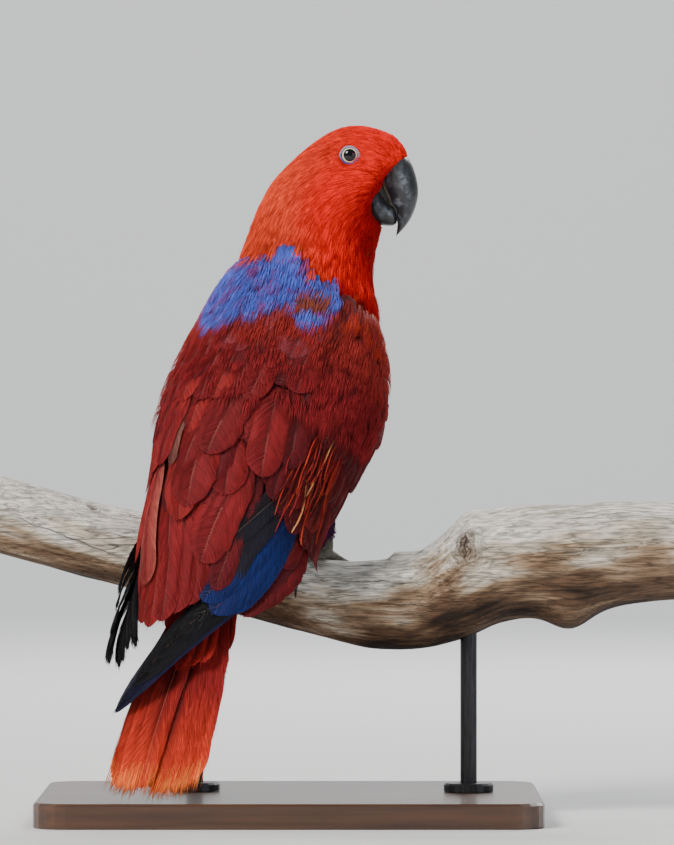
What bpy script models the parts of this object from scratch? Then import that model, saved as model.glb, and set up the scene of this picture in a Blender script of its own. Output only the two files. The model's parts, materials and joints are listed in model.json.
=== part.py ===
# A life-size still model of a perched female eclectus parrot, on a cut length of branch
# that a flat base and two short rods hold up.
# Lengths in this file are millimetres, turned into metres where a mesh is made.
# X runs to the bird's right along the branch, Y away from the tail side, Z up.
# The origin is the middle of the base's underside.

import math
import random

import bpy
import bmesh
from mathutils import Vector

MM = 0.001
GAP = 0.35            # air left between pieces that meet
SEED = 41

# how the body stands: the heading turns from +Y towards +X, the lean is off the vertical
HEADING = 35.0
LEAN = 27.0
TAIL_TIP = Vector((-64.8, -89.0, 17.0))

# the head looks along +X, so its middle plane has one Y
HEAD_Y = 18.0
RING_SIDES = 28
HEAD_STEPS = 13
NECK_STEPS = 7

# profile of the head from the bill's root to the nape: crown point, chin point, half-width
HEAD_ROWS = (
    ((57.2, 318.2), (45.4, 308.7), 10.8),
    ((52.6, 325.7), (42.5, 302.6), 15.5),
    ((47.8, 329.1), (40.5, 297.8), 18.2),
    ((42.5, 331.7), (39.5, 292.7), 19.8),
    ((32.3, 333.7), (39.8, 289.1), 21.0),
    ((21.6, 331.7), (41.3, 284.7), 22.0),
    ((10.5, 325.4), (43.9, 280.4), 23.6),
    ((-0.2, 316.7), (44.2, 276.0), 26.0),
)
# neck: middle, heading, rise of the dorsal side, half-width, half-depth
NECK_ROWS = (
    ((14.6, 17.5, 285.8), 74.0, 33.0, 29.5, 32.6),
    ((10.8, 16.0, 271.5), 55.0, 29.0, 34.0, 34.8),
)
NECK_LOW_CUT = 266.0  # place along the body axis where the neck meets the torso

# torso: place along the axis from the tail tip, shift of the middle to the belly side,
# half-width and back height under the wings, belly depth, and how far the body stands
# out where no wing covers it
TORSO_ROWS = (
    (104.0, 0.0, 17.0, 9.0, 10.0, 0.0),
    (115.0, 1.0, 24.0, 16.0, 12.0, 0.0),
    (128.0, 5.0, 30.5, 29.0, 12.0, 0.0),
    (150.0, 5.0, 34.0, 34.0, 17.5, 3.0),
    (172.0, 7.0, 39.0, 39.0, 32.0, 8.0),
    (206.0, 10.0, 42.0, 42.0, 46.0, 9.0),
    (228.0, 10.0, 39.5, 39.5, 46.0, 9.0),
    (248.0, 8.0, 34.5, 34.5, 42.0, 9.0),
    (268.0, 5.0, 29.0, 29.0, 38.0, 9.0),
)
TORSO_STEP = 10.5
TAIL_CUT = 104.0

# the curved sheet that the feathers of a folded wing lie along: place along the axis,
# radius round the back, height of the back over the axis
SHEET_ROWS = (
    (20.0, 90.0, 14.0),
    (60.0, 75.0, 18.0),
    (95.0, 60.0, 25.0),
    (128.0, 46.0, 40.0),
    (150.0, 46.0, 43.0),
    (173.0, 50.0, 45.0),
    (206.0, 53.0, 43.0),
    (240.0, 46.5, 37.0),
    (268.0, 38.0, 33.0),
    (290.0, 34.0, 31.0),
)

# bill: ridge point, cutting-edge point, half-width
UPPER_BILL_ROWS = (
    ((53.6, 322.0), (41.5, 311.9), 8.5),
    ((57.7, 316.7), (44.6, 308.5), 10.3),
    ((60.1, 311.9), (45.0, 303.6), 10.0),
    ((61.7, 305.3), (47.5, 298.5), 9.0),
    ((61.8, 299.7), (48.3, 295.6), 8.0),
    ((60.6, 294.2), (50.4, 293.7), 6.4),
    ((58.5, 289.1), (51.3, 290.3), 4.8),
    ((55.5, 284.7), (51.8, 286.7), 3.2),
    ((53.1, 282.1), (51.7, 283.5), 1.8),
)
UPPER_BILL_TIP = (51.0, 280.2)
LOWER_BILL_ROWS = (
    ((39.1, 304.1), (34.7, 290.1), 6.5),
    ((42.3, 301.8), (37.1, 287.6), 8.3),
    ((44.5, 298.6), (40.5, 286.2), 8.0),
    ((46.5, 295.7), (44.9, 285.5), 7.0),
    ((48.5, 294.1), (48.3, 285.5), 5.6),
    ((49.9, 292.2), (50.2, 286.7), 3.6),
)
LOWER_BILL_TIP = (50.9, 289.3)
BILL_SIDES = 14

EYE_X = 28.7
EYE_Z = 318.7
EYE_RADIUS = 5.3
EYE_SIDE = 15.2       # from the head's middle plane to the eye's middle
LID_RADIUS = 4.9
LID_THICK = 1.1
LID_SIDE = 18.6
LID_SIDES = 14
LID_TUBE_SIDES = 5

# perch: place along X, how far forward it lies, height of its middle, radius
PERCH_ROWS = (
    (-141.5, 12.0, 146.0, 18.8),
    (-98.0, 15.0, 133.9, 18.8),
    (-60.0, 13.0, 124.6, 18.8),
    (-26.5, 3.5, 116.5, 18.7),
    (0.0, 0.0, 109.2, 18.3),
    (21.6, 0.0, 104.3, 19.3),
    (42.0, 1.0, 102.6, 21.4),
    (64.0, 2.0, 104.9, 24.0),
    (84.0, 2.0, 114.8, 28.4),
    (103.5, 0.0, 121.9, 27.4),
    (134.0, -3.0, 124.7, 26.0),
    (168.0, -5.0, 127.6, 24.4),
    (186.5, -5.0, 127.8, 23.2),
)
PERCH_STEP = 12.0
PERCH_SIDES = 18
KNOT_PLACE = (84.0, -24.0, 118.0)
KNOT_RADIUS = 8.0
KNOT_SIDES = 10
KNOT_RINGS = 7

# feet: place along the perch; the ankle is placed off the perch's top by turn and height
FOOT_X = {"left": -21.6, "right": 16.8}
ANKLE_TURN = -6.0
ANKLE_OFF = 7.5
ANKLE_RADIUS = 4.2
TOE_RADIUS = 2.9
TOE_STEPS = 7
TOE_TURN_END = 0.85   # share of the toe after which it goes straight round the perch
PAD_RADIUS = 4.3
# toe: drift along X, first and last angle over the perch's top (front is positive)
TOES = (
    ("front_inner", 10.0, 8.0, 84.0),
    ("front_outer", 21.0, 8.0, 96.0),
    ("back_inner", -24.0, -8.0, -60.0),
    ("back_outer", -14.0, -8.0, -66.0),
)
CLAW_LENGTH = 12.5
CLAW_RADIUS = 1.9

HIP_PLACE = 166.0     # along the body axis
HIP_FRONT = 25.0      # from the axis to the belly side
HIP_SIDE = 18.0
THIGH_RADII = (12.0, 12.5, 11.0, 7.8, 5.4)

# stand
BASE_LENGTH = 240.0
BASE_DEPTH = 192.0
BASE_HEIGHT = 12.0
BASE_CORNER = 16.0
CORNER_STEPS = 5
LOW_CHAMFER = 0.6
TOP_CHAMFER = 1.2
ROD_RADIUS = 4.0
ROD_SIDES = 20
ROD_X = {"left": -46.0, "right": 86.0}
ROD_SINK = 9.0        # how deep a rod sits in its socket in the perch
ROD_FOOT_RADIUS = 12.0
ROD_FOOT_HEIGHT = 4.0

# vanes
VANE_THICK = 0.65
VANE_EDGE = 0.5
VANE_LEVEL = 0.98     # from one vane's middle to the next one's in a stack


def start_clean():
    for thing in list(bpy.data.objects):
        bpy.data.objects.remove(thing, do_unlink=True)


# directions of the body

def turned_axes(heading, rise):
    """Unit vectors to the right side, to the back and along the body."""
    h = math.radians(heading)
    e = math.radians(rise)
    right = Vector((math.cos(h), -math.sin(h), 0.0))
    back = Vector((-math.cos(e) * math.sin(h), -math.cos(e) * math.cos(h), math.sin(e)))
    along = right.cross(back) * -1.0
    return right, back, along


RIGHT, BACK, ALONG = turned_axes(HEADING, LEAN)


def axis_point(s):
    return TAIL_TIP + ALONG * s


def read_rows(rows, s):
    """Smooth values between rows that start with their place, by cubic steps."""
    places = [row[0] for row in rows]
    if s <= places[0]:
        return list(rows[0][1:])
    if s >= places[-1]:
        return list(rows[-1][1:])
    i = 0
    while s > places[i + 1]:
        i += 1
    span = places[i + 1] - places[i]
    t = (s - places[i]) / span
    values = []
    for k in range(1, len(rows[0])):
        here = rows[i][k]
        there = rows[i + 1][k]
        slope = (there - here) / span
        before = slope
        after = slope
        if i > 0:
            before = (there - rows[i - 1][k]) / (places[i + 1] - places[i - 1])
        if i + 2 < len(rows):
            after = (rows[i + 2][k] - here) / (places[i + 2] - places[i])
        t2 = t * t
        t3 = t2 * t
        values.append(here * (2 * t3 - 3 * t2 + 1) + there * (3 * t2 - 2 * t3)
                      + before * span * (t3 - 2 * t2 + t) + after * span * (t3 - t2))
    return values


def ease(low, high, x):
    t = min(max((x - low) / (high - low), 0.0), 1.0)
    return t * t * (3.0 - 2.0 * t)


def mix(a, b, t):
    return a + (b - a) * t


# meshes

def make_material(name, colour, rough, metal=0.0):
    mat = bpy.data.materials.new(name)
    mat.use_nodes = True
    shader = mat.node_tree.nodes["Principled BSDF"]
    shader.inputs["Base Color"].default_value = (*colour, 1.0)
    shader.inputs["Roughness"].default_value = rough
    shader.inputs["Metallic"].default_value = metal
    mat.diffuse_color = (*colour, 1.0)
    return mat


def add_object(name, points, faces, mat=None, smooth=True):
    mesh = bpy.data.meshes.new(name)
    mesh.from_pydata([Vector(p) * MM for p in points], [], faces)
    bm = bmesh.new()
    bm.from_mesh(mesh)
    bmesh.ops.recalc_face_normals(bm, faces=bm.faces)
    bm.to_mesh(mesh)
    bm.free()
    if mat:
        mesh.materials.append(mat)
    if smooth:
        mesh.shade_smooth()
        mesh.set_sharp_from_angle(angle=math.radians(50.0))
    thing = bpy.data.objects.new(name, mesh)
    bpy.context.scene.collection.objects.link(thing)
    return thing


def add_loft(name, rings, mat=None, smooth=True, tip=None):
    """A closed body through rings of points, with flat ends or a pointed one."""
    count = len(rings[0])
    points = [p for ring in rings for p in ring]
    faces = []
    for i in range(len(rings) - 1):
        for j in range(count):
            k = (j + 1) % count
            a = i * count
            b = a + count
            faces.append((a + j, a + k, b + k))
            faces.append((a + j, b + k, b + j))
    faces.append(tuple(range(count)))
    last = (len(rings) - 1) * count
    if tip is None:
        faces.append(tuple(last + j for j in range(count)))
    else:
        points.append(tip)
        for j in range(count):
            faces.append((last + j, last + (j + 1) % count, len(points) - 1))
    return add_object(name, points, faces, mat, smooth)


def apply_modifiers(thing):
    graph = bpy.context.evaluated_depsgraph_get()
    graph.update()
    made = bpy.data.meshes.new_from_object(thing.evaluated_get(graph))
    old = thing.data
    thing.modifiers.clear()
    thing.data = made
    bpy.data.meshes.remove(old)


def keep_largest(thing):
    """Only the closed surface with the largest box stays."""
    bm = bmesh.new()
    bm.from_mesh(thing.data)
    bmesh.ops.remove_doubles(bm, verts=bm.verts, dist=0.0000005)
    left = set(bm.faces)
    groups = []
    while left:
        seed = left.pop()
        group = [seed]
        stack = [seed]
        while stack:
            face = stack.pop()
            for edge in face.edges:
                for other in edge.link_faces:
                    if other in left:
                        left.remove(other)
                        group.append(other)
                        stack.append(other)
        groups.append(group)
    groups.sort(key=group_size, reverse=True)
    dropped = [face for group in groups[1:] for face in group]
    if dropped:
        bmesh.ops.delete(bm, geom=dropped, context="FACES")
    loose = [v for v in bm.verts if not v.link_faces]
    bmesh.ops.delete(bm, geom=loose, context="VERTS")
    bm.to_mesh(thing.data)
    bm.free()
    return len(dropped)


def group_size(group):
    spots = [v.co for face in group for v in face.verts]
    size = 0.0
    for axis in range(3):
        size += max(p[axis] for p in spots) - min(p[axis] for p in spots)
    return size


def fuse(thing, pieces):
    """One union of a core with all the closed pieces that grow from it."""
    group = bpy.data.collections.new(thing.name + "_pieces")
    bpy.context.scene.collection.children.link(group)
    for piece in pieces:
        for home in list(piece.users_collection):
            home.objects.unlink(piece)
        group.objects.link(piece)
    union = thing.modifiers.new("union", "BOOLEAN")
    union.operation = "UNION"
    union.operand_type = "COLLECTION"
    union.collection = group
    union.solver = "EXACT"
    apply_modifiers(thing)
    for piece in pieces:
        bpy.data.objects.remove(piece, do_unlink=True)
    bpy.data.collections.remove(group)
    keep_largest(thing)


def cut_clear(thing, other, room=GAP):
    """Cuts a body back so that it meets another one with a thin, even gap."""
    cutter = other.copy()
    cutter.data = other.data.copy()
    bpy.context.scene.collection.objects.link(cutter)
    bm = bmesh.new()
    bm.from_mesh(cutter.data)
    bm.normal_update()
    moves = [(v, offset_corner(v, room * MM)) for v in bm.verts]
    for v, spot in moves:
        v.co = spot
    bm.to_mesh(cutter.data)
    bm.free()
    take_away(thing, [cutter])


def offset_corner(vert, room):
    """A corner moved out so that each of its faces moves by the room asked for."""
    normal = vert.normal
    least = 1.0
    for face in vert.link_faces:
        least = min(least, max(face.normal.dot(normal), 0.35))
    return vert.co + normal * (room / least)


def take_away(thing, cutters):
    for cutter in cutters:
        cut = thing.modifiers.new("cut", "BOOLEAN")
        cut.operation = "DIFFERENCE"
        cut.object = cutter
        cut.solver = "EXACT"
    apply_modifiers(thing)
    for cutter in cutters:
        bpy.data.objects.remove(cutter, do_unlink=True)
    keep_largest(thing)


def add_ball(name, middle, radius, mat=None, segments=14, rings=9):
    """A ball whose poles lie along Y, as an eye's do."""
    points = []
    faces = []
    cx, cy, cz = middle
    for i in range(1, rings):
        tilt = math.pi * i / rings
        for j in range(segments):
            round_angle = 2.0 * math.pi * j / segments
            points.append((cx + radius * math.sin(tilt) * math.cos(round_angle),
                           cy + radius * math.cos(tilt),
                           cz + radius * math.sin(tilt) * math.sin(round_angle)))
    points.append((cx, cy + radius, cz))
    points.append((cx, cy - radius, cz))
    top = len(points) - 2
    low = len(points) - 1
    for i in range(rings - 2):
        for j in range(segments):
            k = (j + 1) % segments
            a = i * segments
            b = a + segments
            faces.append((a + j, a + k, b + k))
            faces.append((a + j, b + k, b + j))
    last = (rings - 2) * segments
    for j in range(segments):
        k = (j + 1) % segments
        faces.append((top, k, j))
        faces.append((low, last + j, last + k))
    return add_object(name, points, faces, mat)


def add_cylinder(name, low, high, radius, sides, mat=None):
    """An upright cylinder between two points over one another."""
    rings = []
    for point in (low, high):
        ring = []
        for j in range(sides):
            angle = 2.0 * math.pi * j / sides
            ring.append((point[0] + radius * math.cos(angle),
                         point[1] + radius * math.sin(angle), point[2]))
        rings.append(ring)
    return add_loft(name, rings, mat)


# a vane is a thin blade with three points across on each face

VANE_STEPS = (
    (0.0, 0.6),
    (0.3, 0.95),
    (0.65, 1.0),
    (0.9, 0.72),
    (1.0, 0.25),
)
COVERT_STEPS = (
    (0.0, 0.6),
    (0.45, 1.0),
    (0.8, 0.85),
    (1.0, 0.3),
)


def add_vane(name, place, steps, across=(-1.0, 0.0, 1.0)):
    """A closed thin blade. place(u, v) gives a point along (0 to 1) and across (-1 to 1),
    and the normal there."""
    points = []
    faces = []
    count = len(across)
    for u, wide in steps:
        upper = []
        under = []
        for v in across:
            spot, normal = place(u, v * wide)
            thick = VANE_EDGE
            if v == 0.0:
                thick = mix(VANE_THICK, VANE_EDGE, ease(0.5, 1.0, u))
            upper.append(spot + normal * (thick / 2.0))
            under.append(spot - normal * (thick / 2.0))
        points += upper + under
    for i in range(len(steps) - 1):
        a = i * 2 * count
        b = a + 2 * count
        for j in range(count - 1):
            faces.append((a + j, a + j + 1, b + j + 1))
            faces.append((a + j, b + j + 1, b + j))
            faces.append((a + count + j, b + count + j + 1, a + count + j + 1))
            faces.append((a + count + j, b + count + j, b + count + j + 1))
        for one, two in ((count - 1, 2 * count - 1), (count, 0)):
            faces.append((a + one, a + two, b + two))
            faces.append((a + one, b + two, b + one))
    for a in (0, (len(steps) - 1) * 2 * count):
        for j in range(count - 1):
            faces.append((a + j, a + j + 1, a + count + j + 1, a + count + j))
    return add_object(name, points, faces, None, smooth=False)


# body

def ring_points(middle, right, back, wide, high, deep):
    """A closed ring, round the back first, with its own height and depth."""
    ring = []
    for j in range(RING_SIDES):
        angle = 2.0 * math.pi * j / RING_SIDES
        rise = math.cos(angle) * (high if math.cos(angle) > 0 else deep)
        ring.append(middle + right * (wide * math.sin(angle)) + back * rise)
    return ring


def wing_cover(s, angle):
    """1 where a folded wing covers the body, 0 where it doesn't."""
    turn = abs(math.degrees(angle))
    top = mix(240.0, 263.0, ease(20.0, 85.0, turn))
    covered_top = 1.0 - ease(top - 15.0, top, s)
    covered_front = 1.0 - ease(100.0, 124.0, turn)
    between_wings = (1.0 - ease(6.0, 17.0, turn)) * ease(150.0, 185.0, s)
    return covered_top * covered_front * (1.0 - 0.75 * between_wings)


def torso_ring(s):
    shift, wide, high, deep, proud = read_rows(TORSO_ROWS, s)
    middle = axis_point(s) - BACK * shift
    ring = []
    for j in range(RING_SIDES):
        angle = 2.0 * math.pi * j / RING_SIDES
        turn = (angle + math.pi) % (2.0 * math.pi) - math.pi
        out = proud * (1.0 - wing_cover(s, turn))
        cos = math.cos(angle)
        if cos > 0:
            rise = cos * (high + out)
        else:
            rise = cos * deep
        ring.append(middle + RIGHT * ((wide + out) * math.sin(angle)) + BACK * rise)
    return ring


def head_frame(row):
    """Middle, heading, rise, half-width and half-depth of one row of the head."""
    (top_x, top_z), (low_x, low_z), wide = row
    middle = Vector(((top_x + low_x) / 2.0, HEAD_Y, (top_z + low_z) / 2.0))
    depth = math.hypot(top_x - low_x, top_z - low_z) / 2.0
    rise = math.degrees(math.atan2(top_z - low_z, low_x - top_x))
    return middle, 90.0, rise, wide, depth


def front_rows():
    """Rows of head and neck as numbers, each with its place in the order."""
    rows = []
    for row in HEAD_ROWS:
        middle, heading, rise, wide, depth = head_frame(row)
        rows.append([float(len(rows)), *middle, heading, rise, wide, depth])
    for middle, heading, rise, wide, depth in NECK_ROWS:
        rows.append([float(len(rows)), *middle, heading, rise, wide, depth])
    shift, wide, high, deep, proud = read_rows(TORSO_ROWS, NECK_LOW_CUT)
    middle = axis_point(NECK_LOW_CUT) - BACK * (shift + (deep - high - proud) / 2.0)
    depth = (deep + high + proud) / 2.0
    rows.append([float(len(rows)), *middle, HEADING, LEAN, wide + proud, depth])
    return rows


def front_ring(rows, place, shift=0.0):
    x, y, z, heading, rise, wide, depth = read_rows(rows, place)
    right, back, along = turned_axes(heading, rise)
    middle = Vector((x, y, z)) + along * shift
    return ring_points(middle, right, back, wide, depth, depth)


def make_torso(mat):
    rings = []
    count = round((NECK_LOW_CUT - TAIL_CUT) / TORSO_STEP)
    for i in range(count + 1):
        s = mix(TAIL_CUT, NECK_LOW_CUT - GAP, i / count)
        rings.append(torso_ring(s))
    return add_loft("torso", rings, mat)


def make_head_and_neck(head_mat, neck_mat):
    rows = front_rows()
    split = len(HEAD_ROWS) - 1.0
    head_rings = [front_ring(rows, split * i / HEAD_STEPS) for i in range(HEAD_STEPS + 1)]
    head = add_loft("head", head_rings, head_mat)
    end = rows[-1][0]
    neck_rings = [front_ring(rows, split, -GAP)]
    for i in range(1, NECK_STEPS + 1):
        neck_rings.append(front_ring(rows, mix(split, end, i / NECK_STEPS)))
    neck = add_loft("neck", neck_rings, neck_mat)
    return head, neck


def bill_ring(row, ridge):
    """One ring of a mandible, narrow at its cutting edge. The ridge is 1 over it, -1 under."""
    (top_x, top_z), (low_x, low_z), wide = row
    ring = []
    for j in range(BILL_SIDES):
        angle = 2.0 * math.pi * j / BILL_SIDES
        rise = math.cos(angle)
        side = math.sin(angle)
        if rise * ridge < 0:
            rise = math.copysign(abs(rise) ** 1.7, rise)
            side = math.copysign(abs(side) ** 0.75, side)
        t = (1.0 - rise) / 2.0
        ring.append(Vector((mix(top_x, low_x, t), HEAD_Y - wide * side, mix(top_z, low_z, t))))
    return ring


def smooth_bill(rows, steps):
    """More rows between the named ones, on a smooth line."""
    numbered = [(float(i), *row[0], *row[1], row[2]) for i, row in enumerate(rows)]
    made = []
    for i in range(steps + 1):
        a, b, c, d, wide = read_rows(numbered, (len(rows) - 1) * i / steps)
        made.append(((a, b), (c, d), wide))
    return made


def make_bill(head, mat):
    upper_rings = [bill_ring(row, 1.0) for row in smooth_bill(UPPER_BILL_ROWS, 12)]
    upper_tip = Vector((UPPER_BILL_TIP[0], HEAD_Y, UPPER_BILL_TIP[1]))
    upper = add_loft("beak_upper", upper_rings, mat, tip=upper_tip)
    lower_rings = [bill_ring(row, -1.0) for row in smooth_bill(LOWER_BILL_ROWS, 7)]
    lower_tip = Vector((LOWER_BILL_TIP[0], HEAD_Y, LOWER_BILL_TIP[1]))
    lower = add_loft("beak_lower", lower_rings, mat, tip=lower_tip)
    cut_clear(upper, head)
    cut_clear(lower, head)
    cut_clear(lower, upper)
    return upper, lower


def make_eyes(head, mat):
    """Each eye sits in a socket, inside a raised ring of lid."""
    lids = []
    sockets = []
    for side, name in ((-1.0, "eye_right"), (1.0, "eye_left")):
        middle = (EYE_X, HEAD_Y + side * EYE_SIDE, EYE_Z)
        add_ball(name, middle, EYE_RADIUS, mat)
        sockets.append(add_ball("socket", middle, EYE_RADIUS + GAP))
        rings = []
        for i in range(LID_SIDES):
            angle = 2.0 * math.pi * i / LID_SIDES
            out = Vector((math.cos(angle), 0.0, math.sin(angle)))
            spot = Vector((EYE_X, HEAD_Y + side * LID_SIDE, EYE_Z)) + out * LID_RADIUS
            ring = []
            for j in range(LID_TUBE_SIDES):
                turn = 2.0 * math.pi * j / LID_TUBE_SIDES
                ring.append(spot + out * (LID_THICK * math.cos(turn))
                            + Vector((0.0, LID_THICK * math.sin(turn), 0.0)))
            rings.append(ring)
        lids.append(add_closed_tube("lid", rings))
    fuse(head, lids)
    take_away(head, sockets)


def add_closed_tube(name, rings):
    count = len(rings[0])
    total = len(rings)
    points = [p for ring in rings for p in ring]
    faces = []
    for i in range(total):
        for j in range(count):
            k = (j + 1) % count
            a = i * count
            b = ((i + 1) % total) * count
            faces.append((a + j, a + k, b + k))
            faces.append((a + j, b + k, b + j))
    return add_object(name, points, faces)


# wings

def sheet_point(s, q, h, side):
    """A point on the wing's sheet: along the axis, round the back, and off the sheet."""
    radius, height = read_rows(SHEET_ROWS, s)
    angle = q / radius
    normal = RIGHT * (math.sin(angle) * side) + BACK * math.cos(angle)
    middle = axis_point(s) + BACK * (height - radius)
    return middle + normal * (radius + h), normal


# upper and lower end of the wing's arm, by the way round from the middle of the back
WING_TOP = (
    (6.0, 226.0),
    (30.0, 238.0),
    (60.0, 252.0),
    (80.0, 259.0),
    (98.0, 252.0),
    (106.0, 240.0),
)
WING_LOW = (
    (6.0, 178.0),
    (30.0, 172.0),
    (60.0, 166.0),
    (80.0, 166.0),
    (98.0, 174.0),
    (106.0, 190.0),
)
# heights of the arm off the sheet: underside, rim, under the thick coverts, and at the wrist
CORE_DEEP = -12.5
CORE_RIM = -8.5
CORE_LOW = -5.0
CORE_FULL = -1.4
CORE_STEPS_ALONG = 8
CORE_STEPS_ROUND = 10


def make_wing_core(name, side, mat):
    """The arm and its flesh: a shell over the flank, thickest along its front edge."""
    outer = []
    inner = []
    for j in range(CORE_STEPS_ROUND + 1):
        q = mix(WING_TOP[0][0], WING_TOP[-1][0], j / CORE_STEPS_ROUND)
        high = read_rows(WING_TOP, q)[0]
        low = read_rows(WING_LOW, q)[0]
        for i in range(CORE_STEPS_ALONG + 1):
            t = i / CORE_STEPS_ALONG
            s = mix(low, high, t)
            rim = min(ease(0.0, 0.3, t), ease(-4.0, 18.0, q - WING_TOP[0][0]),
                      ease(-3.0, 14.0, WING_TOP[-1][0] - q))
            wrist = max(ease(0.35, 0.8, t), 0.8 * ease(55.0, 90.0, q))
            h = mix(CORE_RIM, mix(CORE_LOW, CORE_FULL, wrist), rim)
            outer.append(sheet_point(s, q, h, side)[0])
            inner.append(sheet_point(s, q, CORE_DEEP, side)[0])
    rows = CORE_STEPS_ALONG + 1
    columns = CORE_STEPS_ROUND + 1
    points = outer + inner
    faces = []
    for j in range(CORE_STEPS_ROUND):
        for i in range(CORE_STEPS_ALONG):
            a = j * rows + i
            for base in (0, rows * columns):
                faces.append((base + a, base + a + 1, base + a + rows + 1))
                faces.append((base + a, base + a + rows + 1, base + a + rows))
    rim_path = [j * rows for j in range(columns)]
    rim_path += [(columns - 1) * rows + i for i in range(1, rows)]
    rim_path += [j * rows + rows - 1 for j in range(columns - 2, -1, -1)]
    rim_path += [i for i in range(rows - 2, 0, -1)]
    under = rows * columns
    for n, a in enumerate(rim_path):
        b = rim_path[(n + 1) % len(rim_path)]
        faces.append((a, b, b + under))
        faces.append((a, b + under, a + under))
    return add_object(name, points, faces, mat)


def sheet_vane(name, side, root, tip, half_width, bow, heights, tilts, steps=VANE_STEPS,
               across=(-1.0, 0.0, 1.0)):
    """A vane on the wing's sheet from root (s, q) to tip (s, q), bowed to the front edge."""
    run_s = tip[0] - root[0]
    run_q = tip[1] - root[1]
    length = math.hypot(run_s, run_q)
    across_s = run_q / length
    across_q = -run_s / length

    def place(u, v):
        arch = 4.0 * u * (1.0 - u) * bow
        reach = arch + v * half_width
        s = root[0] + run_s * u + across_s * reach
        q = root[1] + run_q * u + across_q * reach
        h = heights(u) + mix(tilts[0], tilts[1], u) * v * half_width
        return sheet_point(s, q, h, side)

    return add_vane(name, place, steps, across)


def heights_between(root, middle, tip, turn=0.6):
    def at(u):
        if u < turn:
            return mix(root, middle, ease(0.0, turn * 0.6, u))
        return mix(middle, tip, ease(turn, 1.0, u))
    return at


# flight feathers: each tip or root is (along, round the back), innermost and outermost
FLIGHT_COUNT = 5
PRIMARY_ROOTS = {"right": ((178.0, 70.0), (190.0, 95.0)), "left": ((178.0, 70.0), (190.0, 82.0))}
PRIMARY_TIPS = {"right": ((88.0, 16.0), (40.0, -37.0)), "left": ((92.0, 36.0), (61.0, 56.0))}
PRIMARY_HALF_WIDTH = 10.0
PRIMARY_BOW = {"right": 15.0, "left": 3.0}
PRIMARY_LEVEL = -7.0                      # off the sheet, under the coverts
PRIMARY_LIFT = {"right": -2.6, "left": -3.4}  # off the sheet at the tips
SECONDARY_ROOTS = ((192.0, 13.2), (184.0, 74.0))
SECONDARY_TIPS = {"right": ((106.0, 12.8), (86.0, 22.0)), "left": ((94.0, 12.6), (81.0, 28.0))}
SECONDARY_HALF_WIDTH = 12.0
SECONDARY_BOW = 9.0
SECONDARY_LEVELS = (-6.4, -2.2)

# coverts, lowest tier first: count, roots, tips, and levels at root, middle and tip
COVERT_HALF_WIDTH = 10.0
COVERT_TIERS = {
    "greater": (7, ((205.0, 12.0), (206.0, 96.0)), ((129.0, 12.0), None), (-5.4, -1.0, -0.6)),
    "middle": (6, ((226.0, 14.0), (228.0, 96.0)), ((165.0, 12.0), (180.0, 92.0)), (-4.4, 0.9, 1.2)),
    "scapular": (3, ((232.0, 13.0), (238.0, 42.0)), ((152.0, 11.0), (190.0, 40.0)), (-4.0, 2.6, 3.0)),
}
# outermost tip of the greater coverts
GREATER_FRONT = {"right": (146.0, 88.0), "left": (154.0, 76.0)}


def mix_spot(pair, t):
    return mix(pair[0][0], pair[1][0], t), mix(pair[0][1], pair[1][1], t)


def wing_vanes(side_name, side, draw):
    """Primaries lowest, then secondaries, then three tiers of coverts over them."""
    vanes = []
    for i in range(FLIGHT_COUNT):
        t = i / (FLIGHT_COUNT - 1)
        level = PRIMARY_LEVEL - VANE_LEVEL * i
        heights = heights_between(level, level, PRIMARY_LIFT[side_name] - VANE_LEVEL * i)
        vanes.append(sheet_vane("primary", side, mix_spot(PRIMARY_ROOTS[side_name], t),
                                mix_spot(PRIMARY_TIPS[side_name], t), PRIMARY_HALF_WIDTH,
                                PRIMARY_BOW[side_name], heights, (0.03, 0.0)))
    for i in range(FLIGHT_COUNT):
        t = i / (FLIGHT_COUNT - 1)
        tip_s, tip_q = mix_spot(SECONDARY_TIPS[side_name], t)
        level = SECONDARY_LEVELS[1] - VANE_LEVEL * i
        heights = heights_between(SECONDARY_LEVELS[0], level, level)
        vanes.append(sheet_vane("secondary", side, mix_spot(SECONDARY_ROOTS, t),
                                (tip_s, tip_q + draw.uniform(-1.0, 1.0)), SECONDARY_HALF_WIDTH,
                                SECONDARY_BOW * t, heights, (0.1, 0.0)))
    for count, roots, tips, levels in COVERT_TIERS.values():
        tips = (tips[0], tips[1] or GREATER_FRONT[side_name])
        vanes += covert_row(side, draw, count, roots, tips, levels)
    return vanes


def covert_row(side, draw, count, roots, tips, levels):
    """A tier of coverts from the back to the front edge, each lying under the last."""
    row = []
    for i in range(count):
        t = i / (count - 1)
        tip = (mix(tips[0][0], tips[1][0], ease(0.0, 0.6, t)) + draw.uniform(-2.5, 2.5),
               mix(tips[0][1], tips[1][1], t) + draw.uniform(-0.8, 0.8))
        heights = heights_between(*levels, 0.5)
        row.append(sheet_vane("covert", side, mix_spot(roots, t), tip, COVERT_HALF_WIDTH, 1.0,
                              heights, (0.1, 0.09), COVERT_STEPS, (-1.0, 1.0)))
    return row


def make_wing(side_name, side, torso, mat):
    draw = random.Random(SEED + int(side))
    wing = make_wing_core("wing_" + side_name, side, mat)
    fuse(wing, wing_vanes(side_name, side, draw))
    cut_clear(wing, torso)
    return wing


# tail

TAIL_PAIRS = 6
TAIL_ROOT = 99.0
TAIL_HALF_WIDTH = 9.3
TAIL_SWING = 3.2      # how far the tips lie to the left of the axis
TAIL_TILT = 0.26      # each vane's slope to its own side
TAIL_LIFT = {1.0: -4.6, -1.0: -1.2}   # the right half lies under the left one
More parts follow.
